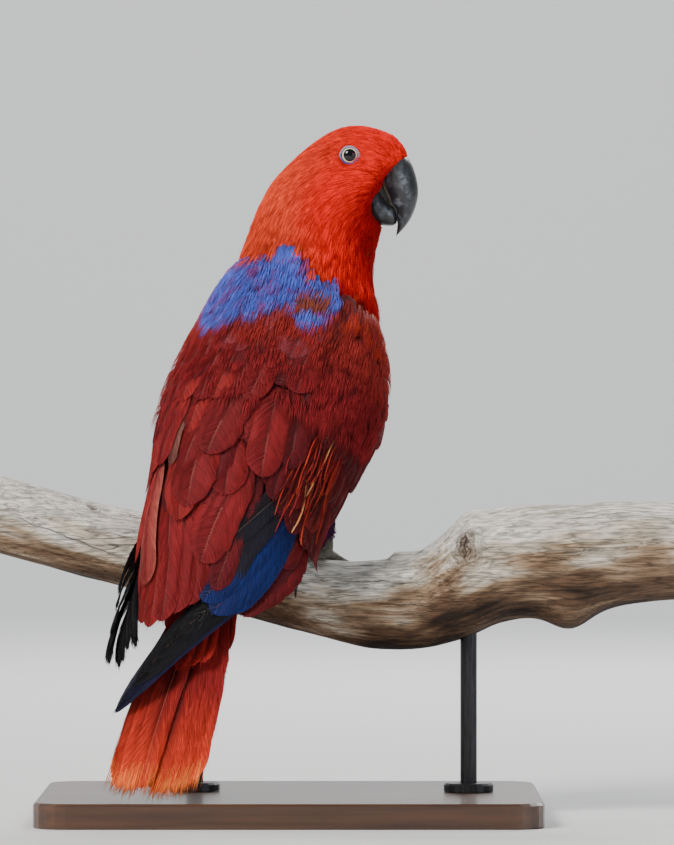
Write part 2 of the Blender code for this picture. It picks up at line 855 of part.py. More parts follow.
# the flesh at the tail's root: place along the axis, half-width, half-height
TAIL_CORE_ROWS = (
    (TAIL_CUT - GAP, 17.0, 9.0),
    (97.0, 14.5, 7.0),
    (89.0, 12.0, 4.6),
    (82.0, 9.0, 2.4),
)
TAIL_COVERTS = 5
TAIL_COVERT_STEP = 6.4
TAIL_COVERT_HALF_WIDTH = 7.0
# coverts over and under the tail: place of the tips, height, tilt
TAIL_COVERT_ROWS = {"upper_covert": (62.0, 3.6, 0.05), "under_covert": (52.0, -7.2, -0.05)}


def tail_point(s, x, h):
    """A point of the tail: along the axis, to the right, and over the axis."""
    return axis_point(s) + RIGHT * x + BACK * h, BACK


def tail_vane(name, root, tip, half_width, heights, tilt, steps=VANE_STEPS):
    """A straight vane from root (s, x) to tip (s, x), tilted about its shaft."""
    run_s = tip[0] - root[0]
    run_x = tip[1] - root[1]
    length = math.hypot(run_s, run_x)

    def place(u, v):
        reach = v * half_width * mix(0.7, 1.0, ease(0.0, 0.5, u))
        s = root[0] + run_s * u + reach * run_x / length
        x = root[1] + run_x * u - reach * run_s / length
        return tail_point(s, x, heights(u) + tilt * reach)

    return add_vane(name, place, steps, (-1.0, 1.0))


def make_tail(mat):
    draw = random.Random(SEED)
    rings = [ring_points(axis_point(s), RIGHT, BACK, wide, high, high)
             for s, wide, high in TAIL_CORE_ROWS]
    tail = add_loft("tail", rings, mat)
    vanes = []
    for side, lift in TAIL_LIFT.items():
        for i in range(TAIL_PAIRS):
            root = (TAIL_ROOT - 3.0, side * (1.2 + 1.7 * i))
            tip = (4.0 + 0.3 * i * i + draw.uniform(-0.4, 0.4), side * (2.2 + 3.3 * i) - TAIL_SWING)
            tip_height = lift - 0.25 * i
            heights = heights_between(tip_height * 0.8, tip_height, tip_height)
            vanes.append(tail_vane("rectrix", root, tip, TAIL_HALF_WIDTH, heights,
                                   side * TAIL_TILT))
    middle = TAIL_COVERTS // 2
    for i in range(TAIL_COVERTS):
        x = (i - middle) * TAIL_COVERT_STEP
        for name, (end, height, tilt) in TAIL_COVERT_ROWS.items():
            tip_s = end + 3.0 * abs(i - middle) + draw.uniform(-1.5, 1.5)
            heights = heights_between(height * 0.75, height, height * 1.15)
            vanes.append(tail_vane(name, (TAIL_ROOT - 2.0, x * 0.7), (tip_s, x),
                                   TAIL_COVERT_HALF_WIDTH, heights, tilt, COVERT_STEPS))
    fuse(tail, vanes)
    return tail


# perch and what grips it

def perch_spot(x, turn, off):
    """A point off the perch's surface; the turn is off its top, towards the front."""
    forward, height, radius = read_rows(PERCH_ROWS, x)
    angle = math.radians(turn)
    reach = radius + off
    return Vector((x, forward + reach * math.sin(angle), height + reach * math.cos(angle)))


def make_perch(mat):
    start = PERCH_ROWS[0][0]
    end = PERCH_ROWS[-1][0]
    count = round((end - start) / PERCH_STEP)
    rings = []
    for i in range(count + 1):
        x = mix(start, end, i / count)
        rings.append([perch_spot(x, 360.0 * j / PERCH_SIDES, 0.0) for j in range(PERCH_SIDES)])
    perch = add_loft("perch", rings, mat)
    knot = add_ball("knot", KNOT_PLACE, KNOT_RADIUS, None, KNOT_SIDES, KNOT_RINGS)
    fuse(perch, [knot])
    sockets = []
    for x in ROD_X.values():
        low = perch_spot(x, 180.0, ROD_RADIUS * 4.0)
        high = rod_top(x) + Vector((0.0, 0.0, GAP))
        sockets.append(add_cylinder("socket", low, high, ROD_RADIUS + GAP, ROD_SIDES))
    take_away(perch, sockets)
    return perch


def rod_top(x):
    return perch_spot(x, 180.0, -ROD_SINK)


def tube_along(name, spots, radii, mat, sides=8, tip=None):
    """A closed tube along a line of points with a radius at each."""
    rings = []
    side_way = Vector((1.0, 0.0, 0.0))
    for i, spot in enumerate(spots):
        ahead = spots[min(i + 1, len(spots) - 1)] - spots[max(i - 1, 0)]
        ahead.normalize()
        across = (side_way - ahead * side_way.dot(ahead)).normalized()
        up = ahead.cross(across)
        ring = []
        for j in range(sides):
            angle = 2.0 * math.pi * j / sides
            ring.append(spot + (across * math.cos(angle) + up * math.sin(angle)) * radii[i])
        rings.append(ring)
    return add_loft(name, rings, mat, tip=tip)


def toe_spots(foot_x, drift, first, last, radius, steps):
    spots = []
    for i in range(steps + 1):
        t = i / steps
        x = foot_x + drift * ease(0.0, TOE_TURN_END, t)
        spots.append(perch_spot(x, mix(first, last, t), radius + GAP))
    return spots


def ankle_spot(side_name):
    return perch_spot(FOOT_X[side_name], ANKLE_TURN, ANKLE_OFF)


def make_foot(side_name, skin, horn):
    foot_x = FOOT_X[side_name]
    ankle = ankle_spot(side_name)
    pad = perch_spot(foot_x, 0.0, PAD_RADIUS + GAP)
    foot = tube_along("foot_" + side_name, [ankle, ankle.lerp(pad, 0.5), pad],
                      [ANKLE_RADIUS, ANKLE_RADIUS - 0.2, PAD_RADIUS - 0.2], skin)
    toes = []
    for name, drift, first, last in TOES:
        spots = toe_spots(foot_x, drift, first * 0.2, last, TOE_RADIUS, TOE_STEPS)
        radii = []
        for i in range(TOE_STEPS + 1):
            swell = 1.0 - 0.08 * math.cos(i * math.pi)
            radii.append(TOE_RADIUS * swell * mix(1.0, 0.86, i / TOE_STEPS) - 0.2)
        toes.append(tube_along("toe", spots, radii, skin))
        make_claw(side_name, name, foot_x + drift, last, horn)
    fuse(foot, toes)
    return foot


def make_claw(side_name, toe_name, x, last, mat):
    """A curved claw that goes on from the toe's end and turns in to the perch."""
    radius = read_rows(PERCH_ROWS, x)[2]
    way = math.copysign(1.0, last)
    step = math.degrees(CLAW_LENGTH / radius)
    spots = []
    radii = []
    count = 4
    for i in range(count):
        t = i / count
        start = last + way * math.degrees(GAP * 1.3 / radius)
        off = mix(TOE_RADIUS + 1.6 * math.sin(math.pi * t), 1.2, t * t) + GAP
        spots.append(perch_spot(x, start + way * step * t, off))
        radii.append(CLAW_RADIUS * (1.0 - 0.75 * t))
    tip = perch_spot(x, last + way * step * 1.02, 0.9)
    tube_along("claw_" + side_name + "_" + toe_name, spots, radii, mat, sides=6, tip=tip)


def make_thigh(side_name, side, mat):
    """The feathered upper leg from the belly to just over the foot."""
    ankle = ankle_spot(side_name) + Vector((0.0, -0.8, 1.8))
    hip = axis_point(HIP_PLACE) - BACK * HIP_FRONT + RIGHT * (side * HIP_SIDE)
    spots = [hip.lerp(ankle, t) for t in (-0.3, 0.15, 0.5, 0.8, 1.0)]
    return tube_along("thigh_" + side_name, spots, THIGH_RADII, mat, sides=12)


# stand

def make_stand(base_mat, rod_mat):
    outline = []
    for sx, sy, start in ((1, 1, 0.0), (-1, 1, 90.0), (-1, -1, 180.0), (1, -1, 270.0)):
        for i in range(CORNER_STEPS + 1):
            angle = math.radians(start + 90.0 * i / CORNER_STEPS)
            outline.append((sx * (BASE_LENGTH / 2.0 - BASE_CORNER) + BASE_CORNER * math.cos(angle),
                            sy * (BASE_DEPTH / 2.0 - BASE_CORNER) + BASE_CORNER * math.sin(angle)))
    edges = ((0.0, LOW_CHAMFER), (LOW_CHAMFER, 0.0),
             (BASE_HEIGHT - TOP_CHAMFER, 0.0), (BASE_HEIGHT, TOP_CHAMFER))
    rings = []
    for z, inset in edges:
        ring = []
        for x, y in outline:
            ring.append(Vector((x * (1.0 - inset / (BASE_LENGTH / 2.0)),
                                y * (1.0 - inset / (BASE_DEPTH / 2.0)), z)))
        rings.append(ring)
    add_loft("stand_base", rings, base_mat)
    for name, x in ROD_X.items():
        low = BASE_HEIGHT + GAP
        top = rod_top(x)
        profile = ((ROD_FOOT_RADIUS, low), (ROD_FOOT_RADIUS, low + ROD_FOOT_HEIGHT - 1.0),
                   (ROD_FOOT_RADIUS - 1.0, low + ROD_FOOT_HEIGHT), (ROD_RADIUS, low + ROD_FOOT_HEIGHT),
                   (ROD_RADIUS, top.z))
        rod_rings = []
        for radius, z in profile:
            ring = []
            for j in range(ROD_SIDES):
                angle = 2.0 * math.pi * j / ROD_SIDES
                ring.append(Vector((x + radius * math.cos(angle), top.y + radius * math.sin(angle), z)))
            rod_rings.append(ring)
        add_loft("stand_rod_" + name, rod_rings, rod_mat)


def main():
    start_clean()
    head_mat = make_material("head_feathers", (0.82, 0.05, 0.03), 0.75)
    neck_mat = make_material("neck_feathers", (0.78, 0.06, 0.03), 0.75)
    torso_mat = make_material("body_feathers", (0.12, 0.14, 0.55), 0.75)
    wing_mat = make_material("wing_feathers", (0.30, 0.04, 0.04), 0.6)
    tail_mat = make_material("tail_feathers", (0.62, 0.08, 0.03), 0.6)
    thigh_mat = make_material("thigh_feathers", (0.14, 0.12, 0.50), 0.75)
    bill_mat = make_material("bill_horn", (0.02, 0.02, 0.022), 0.35)
    eye_mat = make_material("eye_gloss", (0.70, 0.64, 0.42), 0.08)
    skin_mat = make_material("foot_skin", (0.20, 0.19, 0.17), 0.6)
    claw_mat = make_material("claw_horn", (0.05, 0.045, 0.04), 0.35)
    wood_mat = make_material("perch_wood", (0.42, 0.32, 0.22), 0.85)
    base_mat = make_material("base_wood", (0.16, 0.10, 0.06), 0.45)
    rod_mat = make_material("rod_metal", (0.08, 0.08, 0.08), 0.35, 0.8)

    torso = make_torso(torso_mat)
    head, neck = make_head_and_neck(head_mat, neck_mat)
    make_bill(head, bill_mat)
    make_eyes(head, eye_mat)
    make_tail(tail_mat)
    perch = make_perch(wood_mat)
    feet = {}
    for side_name in ("left", "right"):
        feet[side_name] = make_foot(side_name, skin_mat, claw_mat)
    for side_name, side in (("left", -1.0), ("right", 1.0)):
        thigh = make_thigh(side_name, side, thigh_mat)
        cut_clear(thigh, torso)
        cut_clear(thigh, feet[side_name])
        make_wing(side_name, side, torso, wing_mat)
    make_stand(base_mat, rod_mat)


main()
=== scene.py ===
# A perched female eclectus parrot as a life-size display model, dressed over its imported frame.
# Settings are in millimetres. A mesh is put in metres when it is made.
import json
import math

import bpy
import numpy as np
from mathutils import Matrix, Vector, noise
from mathutils.bvhtree import BVHTree

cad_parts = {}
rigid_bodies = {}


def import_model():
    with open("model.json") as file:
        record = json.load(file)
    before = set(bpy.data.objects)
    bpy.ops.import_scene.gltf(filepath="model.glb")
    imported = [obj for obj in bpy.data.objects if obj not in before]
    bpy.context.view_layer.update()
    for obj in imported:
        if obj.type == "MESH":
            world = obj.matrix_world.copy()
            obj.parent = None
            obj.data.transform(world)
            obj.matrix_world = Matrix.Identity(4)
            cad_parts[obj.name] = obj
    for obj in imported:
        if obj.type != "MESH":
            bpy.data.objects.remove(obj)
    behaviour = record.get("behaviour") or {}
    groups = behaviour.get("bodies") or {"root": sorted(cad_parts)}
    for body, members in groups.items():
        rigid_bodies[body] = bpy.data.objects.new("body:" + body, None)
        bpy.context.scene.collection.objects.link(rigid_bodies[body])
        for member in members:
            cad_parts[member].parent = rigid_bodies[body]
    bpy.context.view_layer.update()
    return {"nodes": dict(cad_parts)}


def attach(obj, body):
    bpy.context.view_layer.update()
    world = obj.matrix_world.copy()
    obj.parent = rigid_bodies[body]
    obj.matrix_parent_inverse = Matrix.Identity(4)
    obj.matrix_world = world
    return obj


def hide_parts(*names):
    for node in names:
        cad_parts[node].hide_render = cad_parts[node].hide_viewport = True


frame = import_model()
mm = 0.001


# small tools

def rgb(red, green, blue):
    # a colour as the eye reads it, 0 to 255, made linear
    linear = []
    for part in (red, green, blue):
        part = part / 255.0
        linear.append(part / 12.92 if part < 0.04 else ((part + 0.055) / 1.055) ** 2.4)
    return np.array(linear)


def ease(low, high, x):
    t = np.clip((np.asarray(x, float) - low) / (high - low), 0.0, 1.0)
    return t * t * (3.0 - 2.0 * t)


def mix(a, b, t):
    return a + (b - a) * t


def layered(tint, layers):
    # colours laid over each other, each by its amount from 0 to 1
    for colour, amount in layers:
        tint = mix(tint, colour, amount[:, None])
    return tint


def unit(v):
    v = np.asarray(v, float)
    return v / np.maximum(np.linalg.norm(v, axis=-1, keepdims=True), 1e-9)


def flatten(way, normals):
    # the part of a direction that lies in the surface
    return unit(way - normals * np.sum(way * normals, 1)[:, None])


def readRows(rows, place):
    # smooth values between rows that start with their place
    rows = np.asarray(rows, float)
    at = rows[:, 0]
    place = np.clip(np.asarray(place, float), at[0], at[-1])
    i = np.clip(np.searchsorted(at, place, side="right") - 1, 0, len(at) - 2)
    low = np.maximum(i - 1, 0)
    high = np.minimum(i + 2, len(at) - 1)
    span = (at[i + 1] - at[i])[..., None]
    t = ((place - at[i])[..., None]) / span
    here = rows[i, 1:]
    there = rows[i + 1, 1:]
    before = (there - rows[low, 1:]) / (at[i + 1] - at[low])[..., None]
    after = (rows[high, 1:] - here) / (at[high] - at[i])[..., None]
    t2 = t * t
    t3 = t2 * t
    return (here * (2 * t3 - 3 * t2 + 1) + there * (3 * t2 - 2 * t3)
            + before * span * (t3 - 2 * t2 + t) + after * span * (t3 - t2))


def noiseAt(points, scale, seed=0.0):
    # soft noise, about -1 to 1, at points in millimetres
    flat = np.asarray(points, float).reshape(-1, 3) / scale + seed
    values = np.array([noise.noise(Vector(p)) for p in flat])
    return values.reshape(np.asarray(points).shape[:-1])


def deselectAll():
    bpy.ops.object.select_all(action="DESELECT")


def pickOnly(thing):
    deselectAll()
    thing.select_set(True)
    bpy.context.view_layer.objects.active = thing


def meshPoints(thing):
    flat = np.zeros(len(thing.data.vertices) * 3, np.float32)
    thing.data.vertices.foreach_get("co", flat)
    return flat.reshape(-1, 3).astype(float) / mm


def setMeshPoints(thing, points):
    thing.data.vertices.foreach_set("co", (points * mm).astype(np.float32).ravel())
    thing.data.update()


def meshNormals(thing):
    flat = np.zeros(len(thing.data.vertices) * 3, np.float32)
    thing.data.vertices.foreach_get("normal", flat)
    return flat.reshape(-1, 3).astype(float)


def paint(thing, colours):
    layer = thing.data.attributes.new("tint", "FLOAT_COLOR", "POINT")
    full = np.ones((len(colours), 4), np.float32)
    full[:, :3] = colours
    layer.data.foreach_set("color", full.ravel())


def bell(x, width):
    return np.exp(-(x / width) ** 2)


def addObject(name, data):
    thing = bpy.data.objects.new(name, data)
    bpy.context.scene.collection.objects.link(thing)
    return thing


def trianglePiece(name, mat, points, triangles, tint, patch, quill=None):
    # one piece from arrays: points in millimetres, three corners a face
    mesh = bpy.data.meshes.new(name)
    corners = triangles.astype(np.int32).ravel()
    mesh.vertices.add(len(points))
    mesh.loops.add(len(corners))
    mesh.loops.foreach_set("vertex_index", corners)
    mesh.polygons.add(len(triangles))
    mesh.polygons.foreach_set("loop_start", np.arange(0, len(corners), 3, dtype=np.int32))
    thing = addObject(name, mesh)
    setMeshPoints(thing, points)
    mesh.update(calc_edges=True)
    mesh.polygons.foreach_set("use_smooth", np.ones(len(triangles), bool))
    mesh.materials.append(mat)
    paint(thing, tint)
    if quill is not None:
        layer = mesh.attributes.new("quill", "FLOAT_VECTOR", "POINT")
        layer.data.foreach_set("vector", quill.astype(np.float32).ravel())
    uv = mesh.uv_layers.new(name="OFBake")
    uv.data.foreach_set("uv", patch[corners].astype(np.float32).ravel())
    mesh.update()
    return thing


def closeMesh(thing, gap=0.0):
    # corners closer than the gap made one, faces turned outwards
    pickOnly(thing)
    bpy.ops.object.mode_set(mode="EDIT")
    bpy.ops.mesh.select_all(action="SELECT")
    if gap:
        bpy.ops.mesh.remove_doubles(threshold=gap * mm)
    bpy.ops.mesh.normals_make_consistent(inside=False)
    bpy.ops.object.mode_set(mode="OBJECT")
    bpy.ops.object.shade_smooth()


def joinAll(parts, name):
    deselectAll()
    for part in parts:
        part.select_set(True)
    bpy.context.view_layer.objects.active = parts[0]
    bpy.ops.object.join()
    bpy.context.object.name = name
    return bpy.context.object


def oneSurface(thing, voxel, rounds, mat):
    # solids that overlap made one closed smooth surface
    remesh = thing.modifiers.new("oneSurface", "REMESH")
    remesh.mode = "VOXEL"
    remesh.voxel_size = voxel * mm
    thing.modifiers.new("soften", "SMOOTH").iterations = rounds
    pickOnly(thing)
    for step in ("oneSurface", "soften"):
        bpy.ops.object.modifier_apply(modifier=step)
    bpy.ops.object.shade_smooth()
    thing.data.materials.clear()
    thing.data.materials.append(mat)


def gridRim(grid):
    # pairs of neighbours round the edge of a grid of numbers
    rim = np.concatenate([grid[0], grid[1:, -1], grid[-1, -2::-1], grid[-2:0:-1, 0]])
    return list(zip(rim.tolist(), np.roll(rim, -1).tolist()))


def tubePlaces(row, rows):
    # the share of the way from end to end, and which points close each end
    share = np.clip((row - 1.0) / (rows - 3.0), 0.0, 1.0)
    return share, ((row < 0.5, 0), (row > rows - 1.5, -1))


def rolledGrid(name, sides, rows, spot, mat):
    # a grid rolled into a closed tube; spot(turn, row) gives places in millimetres
    deselectAll()
    bpy.ops.mesh.primitive_grid_add(x_subdivisions=sides, y_subdivisions=rows - 1, size=1.0)
    thing = bpy.context.object
    thing.name = name
    flat = meshPoints(thing) * mm
    row = np.rint((flat[:, 1] + 0.5) * (rows - 1))
    setMeshPoints(thing, spot(flat[:, 0] + 0.5, row))
    closeMesh(thing, 0.004)
    thing.data.materials.append(mat)
    return thing


def keep(thing, slotName, *replaced):
    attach(thing, "root")
    if replaced:
        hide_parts(*replaced)
    return thing


# how the body stands, and the curved sheet that its wing feathers lie along

stance = {"heading": 35.0, "lean": 27.0, "tailTip": (-64.8, -89.0, 17.0), "headMiddle": 18.0}
sheetRows = (          # place along the axis, radius round the back, height over the axis
    (20.0, 90.0, 14.0),
    (60.0, 75.0, 18.0),
    (95.0, 60.0, 25.0),
    (128.0, 46.0, 40.0),
    (150.0, 46.0, 43.0),
    (173.0, 50.0, 45.0),
    (206.0, 53.0, 43.0),
    (240.0, 46.5, 37.0),
    (268.0, 38.0, 33.0),
    (290.0, 34.0, 31.0),
)
spineRows = (          # a line from the bill's root to the vent, and the heading of each place
    (0.0, 58.0, 18.0, 313.0, 90.0),
    (1.0, 44.0, 18.0, 312.0, 90.0),
    (2.0, 32.0, 18.0, 308.0, 90.0),
    (3.0, 23.0, 18.0, 299.0, 88.0),
    (4.0, 17.0, 17.5, 288.0, 78.0),
    (5.0, 11.5, 16.2, 272.0, 58.0),
    (6.0, 7.5, 13.5, 252.0, 38.0),
    (7.0, 0.5, 3.5, 226.0, 35.0),
    (8.0, -9.0, -10.0, 192.0, 35.0),
    (9.0, -18.5, -23.5, 160.0, 35.0),
    (10.0, -28.0, -37.0, 128.0, 35.0),
    (11.0, -38.0, -51.0, 100.0, 35.0),
)

headingTurn = math.radians(stance["heading"])
leanTurn = math.radians(stance["lean"])
rightWay = np.array([math.cos(headingTurn), -math.sin(headingTurn), 0.0])
backWay = np.array([-math.cos(leanTurn) * math.sin(headingTurn),
                    -math.cos(leanTurn) * math.cos(headingTurn), math.sin(leanTurn)])
alongWay = -np.cross(rightWay, backWay)
tailTip = np.array(stance["tailTip"])


def sheetPoint(s, q, h):
    # a point of the wing's sheet: along the axis, round the back (right is positive), off it
    s, q, h = np.broadcast_arrays(np.asarray(s, float), np.asarray(q, float), np.asarray(h, float))
    values = readRows(sheetRows, s)
    radius = values[..., 0]
    angle = q / radius
    normal = np.sin(angle)[..., None] * rightWay + np.cos(angle)[..., None] * backWay
    middle = tailTip + s[..., None] * alongWay + (values[..., 1] - radius)[..., None] * backWay
    return middle + normal * (radius + h)[..., None], normal


def sheetPlace(points):
    # the other way round: where a point lies along and round the body
    off = points - tailTip
    s = off @ alongWay
    values = readRows(sheetRows, s)
    radius = values[..., 0]
    high = off @ backWay - (values[..., 1] - radius)
    wide = off @ rightWay
    return s, np.arctan2(wide, high) * radius


spineCount = 111
pointsAtOnce = 20000
spineValues = readRows(spineRows, np.linspace(0.0, spineRows[-1][0], spineCount))
spinePoints = spineValues[:, :3]
spineWays = unit(np.gradient(spinePoints, axis=0))
spineTurns = np.radians(spineValues[:, 3])
spineRights = np.stack([np.cos(spineTurns), -np.sin(spineTurns), np.zeros(spineCount)], 1)


def spinePlace(points):
    # place from bill (0) to vent (1), the way of the body there, and the turn round it
    best = np.zeros(len(points), int)
    for start in range(0, len(points), pointsAtOnce):
        part = points[start:start + pointsAtOnce]
        away = np.linalg.norm(part[:, None, :] - spinePoints[None], axis=2)
        best[start:start + pointsAtOnce] = np.argmin(away, axis=1)
    way = spineWays[best]
    right = flatten(spineRights[best], way)
    up = np.cross(right, way)
    off = points - spinePoints[best]
    turn = np.arctan2(np.sum(off * right, 1), np.sum(off * up, 1))
    return best / (spineCount - 1.0), way, turn


def bakePlace(points):
    # where a root lies on an unwrap of the body's own shape
    along, way, turn = spinePlace(points)
    return np.stack([0.03 + 0.94 * (turn / (2.0 * math.pi) + 0.5), 0.03 + 0.94 * along], 1)


# plumage colours

plumage = {
    "scarlet": rgb(250, 28, 14),
    # the nape's orange is a painted highlight; the throat's dark red, also used at the lore, is painted shade
    "nape": rgb(255, 92, 54),
    "throatShade": rgb(164, 8, 10),
    "window": rgb(158, 80, 68),
    "blue": rgb(98, 118, 228),
    "violet": rgb(66, 54, 186),
    "mauve": rgb(170, 60, 112),
    "brownRed": rgb(178, 54, 48),
    "maroon": rgb(150, 36, 40),
    "deep": rgb(70, 14, 20),
    "vent": rgb(214, 50, 22),
    "ember": rgb(206, 60, 36),
}
# the blue patch's sides, the border of back and breast, the gap in the blue, the painted shade at the lore
# beside the bill, the vent
marks = {"blueLeft": -62.0, "blueRight": 47.0, "side": 96.0, "window": (33.0, 242.5, 7.8, 6.2),
         "loreShade": (45.0, 18.0, 299.0), "vent": 126.0}
# edges along the body (second number) at places round it (first number)
mantleTop = ((-62.0, 250.0), (-48.0, 256.0), (-22.5, 260.5), (-7.7, 260.5), (1.8, 262.5), (10.3, 266.0),
             (16.4, 265.5), (20.4, 258.5), (31.1, 254.5), (41.1, 254.0), (46.0, 249.0))
mantleLow = ((-62.0, 264.0), (-48.0, 258.0), (-36.0, 247.0), (-27.0, 231.0), (-13.5, 222.0), (4.6, 225.5),
             (9.3, 230.7), (15.8, 234.0), (24.4, 238.0), (28.5, 231.0), (40.0, 231.0), (46.0, 255.0),
             (60.0, 261.0), (70.0, 257.0), (85.0, 247.0), (95.0, 238.0))
breastEdge = ((84.0, 246.0), (100.0, 232.0), (118.0, 220.0), (145.0, 213.0))


def headTint(points, along, turn):
    # scarlet, turned orange towards the nape by a painted highlight and darkened by painted shade at the
    # throat under the bill and at the lore beside it, finely streaked
    nape = ease(0.3, 0.95, -np.cos(turn)) * ease(0.10, 0.34, along)
    throatShade = ease(-0.1, 0.8, np.cos(turn)) * ease(0.06, 0.26, along)
    loreShade = ease(23.0, 7.0, np.linalg.norm(points - np.array(marks["loreShade"]), axis=1))
    tint = layered(plumage["scarlet"], ((plumage["nape"], nape * 0.8), (plumage["throatShade"], throatShade * 0.85),
                                        (plumage["throatShade"] * 0.75, loreShade * 0.75)))
    streakPlace = np.stack([turn * 16.0, along * 22.0, turn * 0.0], 1)
    streak = noiseAt(streakPlace, 0.7, 4.0) * ease(0.03, 0.12, along) * ease(0.62, 0.5, along)
    return tint * (1.0 + 0.13 * streak)[:, None]


def plumageTint(points, draws):
    # the same marks for the skin and each tuft; draws are two random numbers for each point
    s, q = sheetPlace(points)
    aside = np.abs(q)
    along, way, turn = spinePlace(points)
    ragged = noiseAt(points, 6.0, 3.0) * 3.0 + (draws[:, 0] - 0.5) * 5.0
    top = readRows(mantleTop, q)[:, 0] + ragged
    low = readRows(mantleLow, q)[:, 0] + ragged * 0.8
    onBack = (q < marks["blueRight"] + ragged * 0.4) & (q > marks["blueLeft"]) & (s < top) & (s > low)
    windowQ, windowS, wide, high = marks["window"]
    window = onBack & (((q - windowQ) / wide) ** 2 + ((s - windowS) / high) ** 2 < 1.0 + ragged * 0.1)
    below = (aside > marks["side"]) & (s < readRows(breastEdge, aside)[:, 0] + ragged * 1.3)
    maroon = (s <= low) & (aside <= marks["side"])
    leg = ease(172.0, 158.0, points[:, 2]) * ease(80.0, 88.0, aside)
    blend = onBack & (noiseAt(points, 4.0, 9.0) + draws[:, 1] * 0.5 > 0.55)
    orange = maroon & (q > 44.0) & (s > 232.0) & (draws[:, 0] > 0.78)
    blue = mix(plumage["blue"], plumage["violet"], ease(85.0, 115.0, aside)[:, None])
    wine = mix(plumage["brownRed"], plumage["maroon"], ease(232.0, 200.0, s)[:, None])
    layers = ((wine, maroon), (blue, onBack | below), (mix(blue, plumage["mauve"], 0.7), blend),
              (plumage["window"], window), (plumage["vent"], below & (s < marks["vent"] + ragged)),
              (plumage["deep"], leg * 0.9), (plumage["ember"], orange))
    tint = layered(headTint(points, along, turn), layers)
    return tint * mix(0.94, 1.06, draws[:, 1])[:, None]


# materials

def newTree(name):
    mat = bpy.data.materials.new(name)
    mat.use_nodes = True
    return mat, mat.node_tree, mat.node_tree.nodes["Principled BSDF"]


def setInputs(tree, node, values):
    # an input takes a number, a colour or what another node gives
    for key, value in values.items():
        socket = node.inputs[key]
        if isinstance(value, bpy.types.NodeSocket):
            tree.links.new(value, socket)
        elif socket.type == "RGBA":
            socket.default_value = (*value, 1.0)
        else:
            socket.default_value = value


def addNode(tree, kind, values=None, **settings):
    node = tree.nodes.new(kind)
    for key, value in settings.items():
        setattr(node, key, value)
    setInputs(tree, node, values or {})
    return node


def mathNode(tree, kind, *values):
    return addNode(tree, "ShaderNodeMath", dict(enumerate(values)), operation=kind).outputs[0]


def vectorNode(tree, kind, values):
    return addNode(tree, "ShaderNodeVectorMath", values, operation=kind).outputs


def mixColour(tree, amount, one, two):
    return addNode(tree, "ShaderNodeMix", {0: amount, 6: one, 7: two}, data_type="RGBA").outputs[2]


def bumpNode(tree, height, strength, distance):
    values = {"Strength": strength, "Distance": distance * mm, "Height": height}
    return addNode(tree, "ShaderNodeBump", values).outputs["Normal"]


def noiseNode(tree, place, scale, detail, rough=0.5):
    values = {"Vector": place, "Scale": scale, "Detail": detail, "Roughness": rough}
    return addNode(tree, "ShaderNodeTexNoise", values).outputs["Fac"]


def rangeNode(tree, value, low, high, start=0.0, end=1.0):
    values = {"Value": value, "From Min": low, "From Max": high, "To Min": start, "To Max": end}
    return addNode(tree, "ShaderNodeMapRange", values).outputs[0]


def splitVector(tree, vector):
    return addNode(tree, "ShaderNodeSeparateXYZ", {0: vector}).outputs


def joinVector(tree, *parts):
    return addNode(tree, "ShaderNodeCombineXYZ", dict(enumerate(parts))).outputs[0]


def attributeOf(tree, name):
    return addNode(tree, "ShaderNodeAttribute", attribute_name=name).outputs


def objectPlace(tree, scale=(1.0, 1.0, 1.0), shift=(0.0, 0.0, 0.0), turn=(0.0, 0.0, 0.0)):
    coords = addNode(tree, "ShaderNodeTexCoord").outputs["Object"]
    values = {"Vector": coords, "Scale": scale, "Location": shift, "Rotation": turn}
    return addNode(tree, "ShaderNodeMapping", values).outputs["Vector"]


def newGroup(name, inputs, outputs):
    group = bpy.data.node_groups.new(name, "ShaderNodeTree")
    for label, kind in inputs:
        group.interface.new_socket(name=label, in_out="INPUT", socket_type=kind)
    for label in outputs:
        group.interface.new_socket(name=label, in_out="OUTPUT", socket_type="NodeSocketFloat")
    return group, group.nodes.new("NodeGroupInput").outputs, group.nodes.new("NodeGroupOutput")


def makeMottle():
    # cloudy variation from 0 to 1
    inputs = (("Place", "NodeSocketVector"), ("Scale", "NodeSocketFloat"), ("Detail", "NodeSocketFloat"))
    group, given, leave = newGroup("mottle", inputs, ("Value",))
    cloud = noiseNode(group, given["Place"], given["Scale"], given["Detail"], 0.6)
    setInputs(group, leave, {"Value": rangeNode(group, cloud, 0.3, 0.7)})
    return group


def makeBarbLines():
    # fine lines that run from a feather's shaft out to its edge
    inputs = (("Quill", "NodeSocketVector"), ("Fineness", "NodeSocketFloat"))
    group, given, leave = newGroup("barbLines", inputs, ("Value", "Shaft"))
    parts = splitVector(group, given["Quill"])
    run = mathNode(group, "MULTIPLY", parts["X"], given["Fineness"])
    across = mathNode(group, "MULTIPLY", parts["Y"], 0.9)
    apart = mathNode(group, "MULTIPLY", parts["Z"], 61.0)
    lines = noiseNode(group, joinVector(group, run, across, apart), 1.0, 3.0, 0.65)
    aside = mathNode(group, "ABSOLUTE", parts["Y"])
    setInputs(group, leave, {"Value": rangeNode(group, lines, 0.28, 0.72),
                             "Shaft": rangeNode(group, aside, 0.03, 0.09, 1.0, 0.0)})
    return group


mottle = makeMottle()
barbLines = makeBarbLines()


def cloudOf(tree, scale, detail, stretch=(1.0, 1.0, 1.0), shift=(0.0, 0.0, 0.0)):
    values = {"Place": objectPlace(tree, stretch, shift), "Scale": scale, "Detail": detail}
    return addNode(tree, "ShaderNodeGroup", values, node_tree=mottle).outputs["Value"]


def thinLines(tree, place, scale, width):
    # hairlines where a stretched noise crosses its middle
    lines = noiseNode(tree, place, scale, 2.0)
    off = mathNode(tree, "ABSOLUTE", mathNode(tree, "SUBTRACT", lines, 0.5))
    return rangeNode(tree, off, 0.0, width, 1.0, 0.0)


def tinted(tree, dark, colour=None):
    # the piece's painted tint, or a colour made from it, darkened
    colour = colour or attributeOf(tree, "tint")["Color"]
    return vectorNode(tree, "SCALE", {0: colour, "Scale": dark})[0]


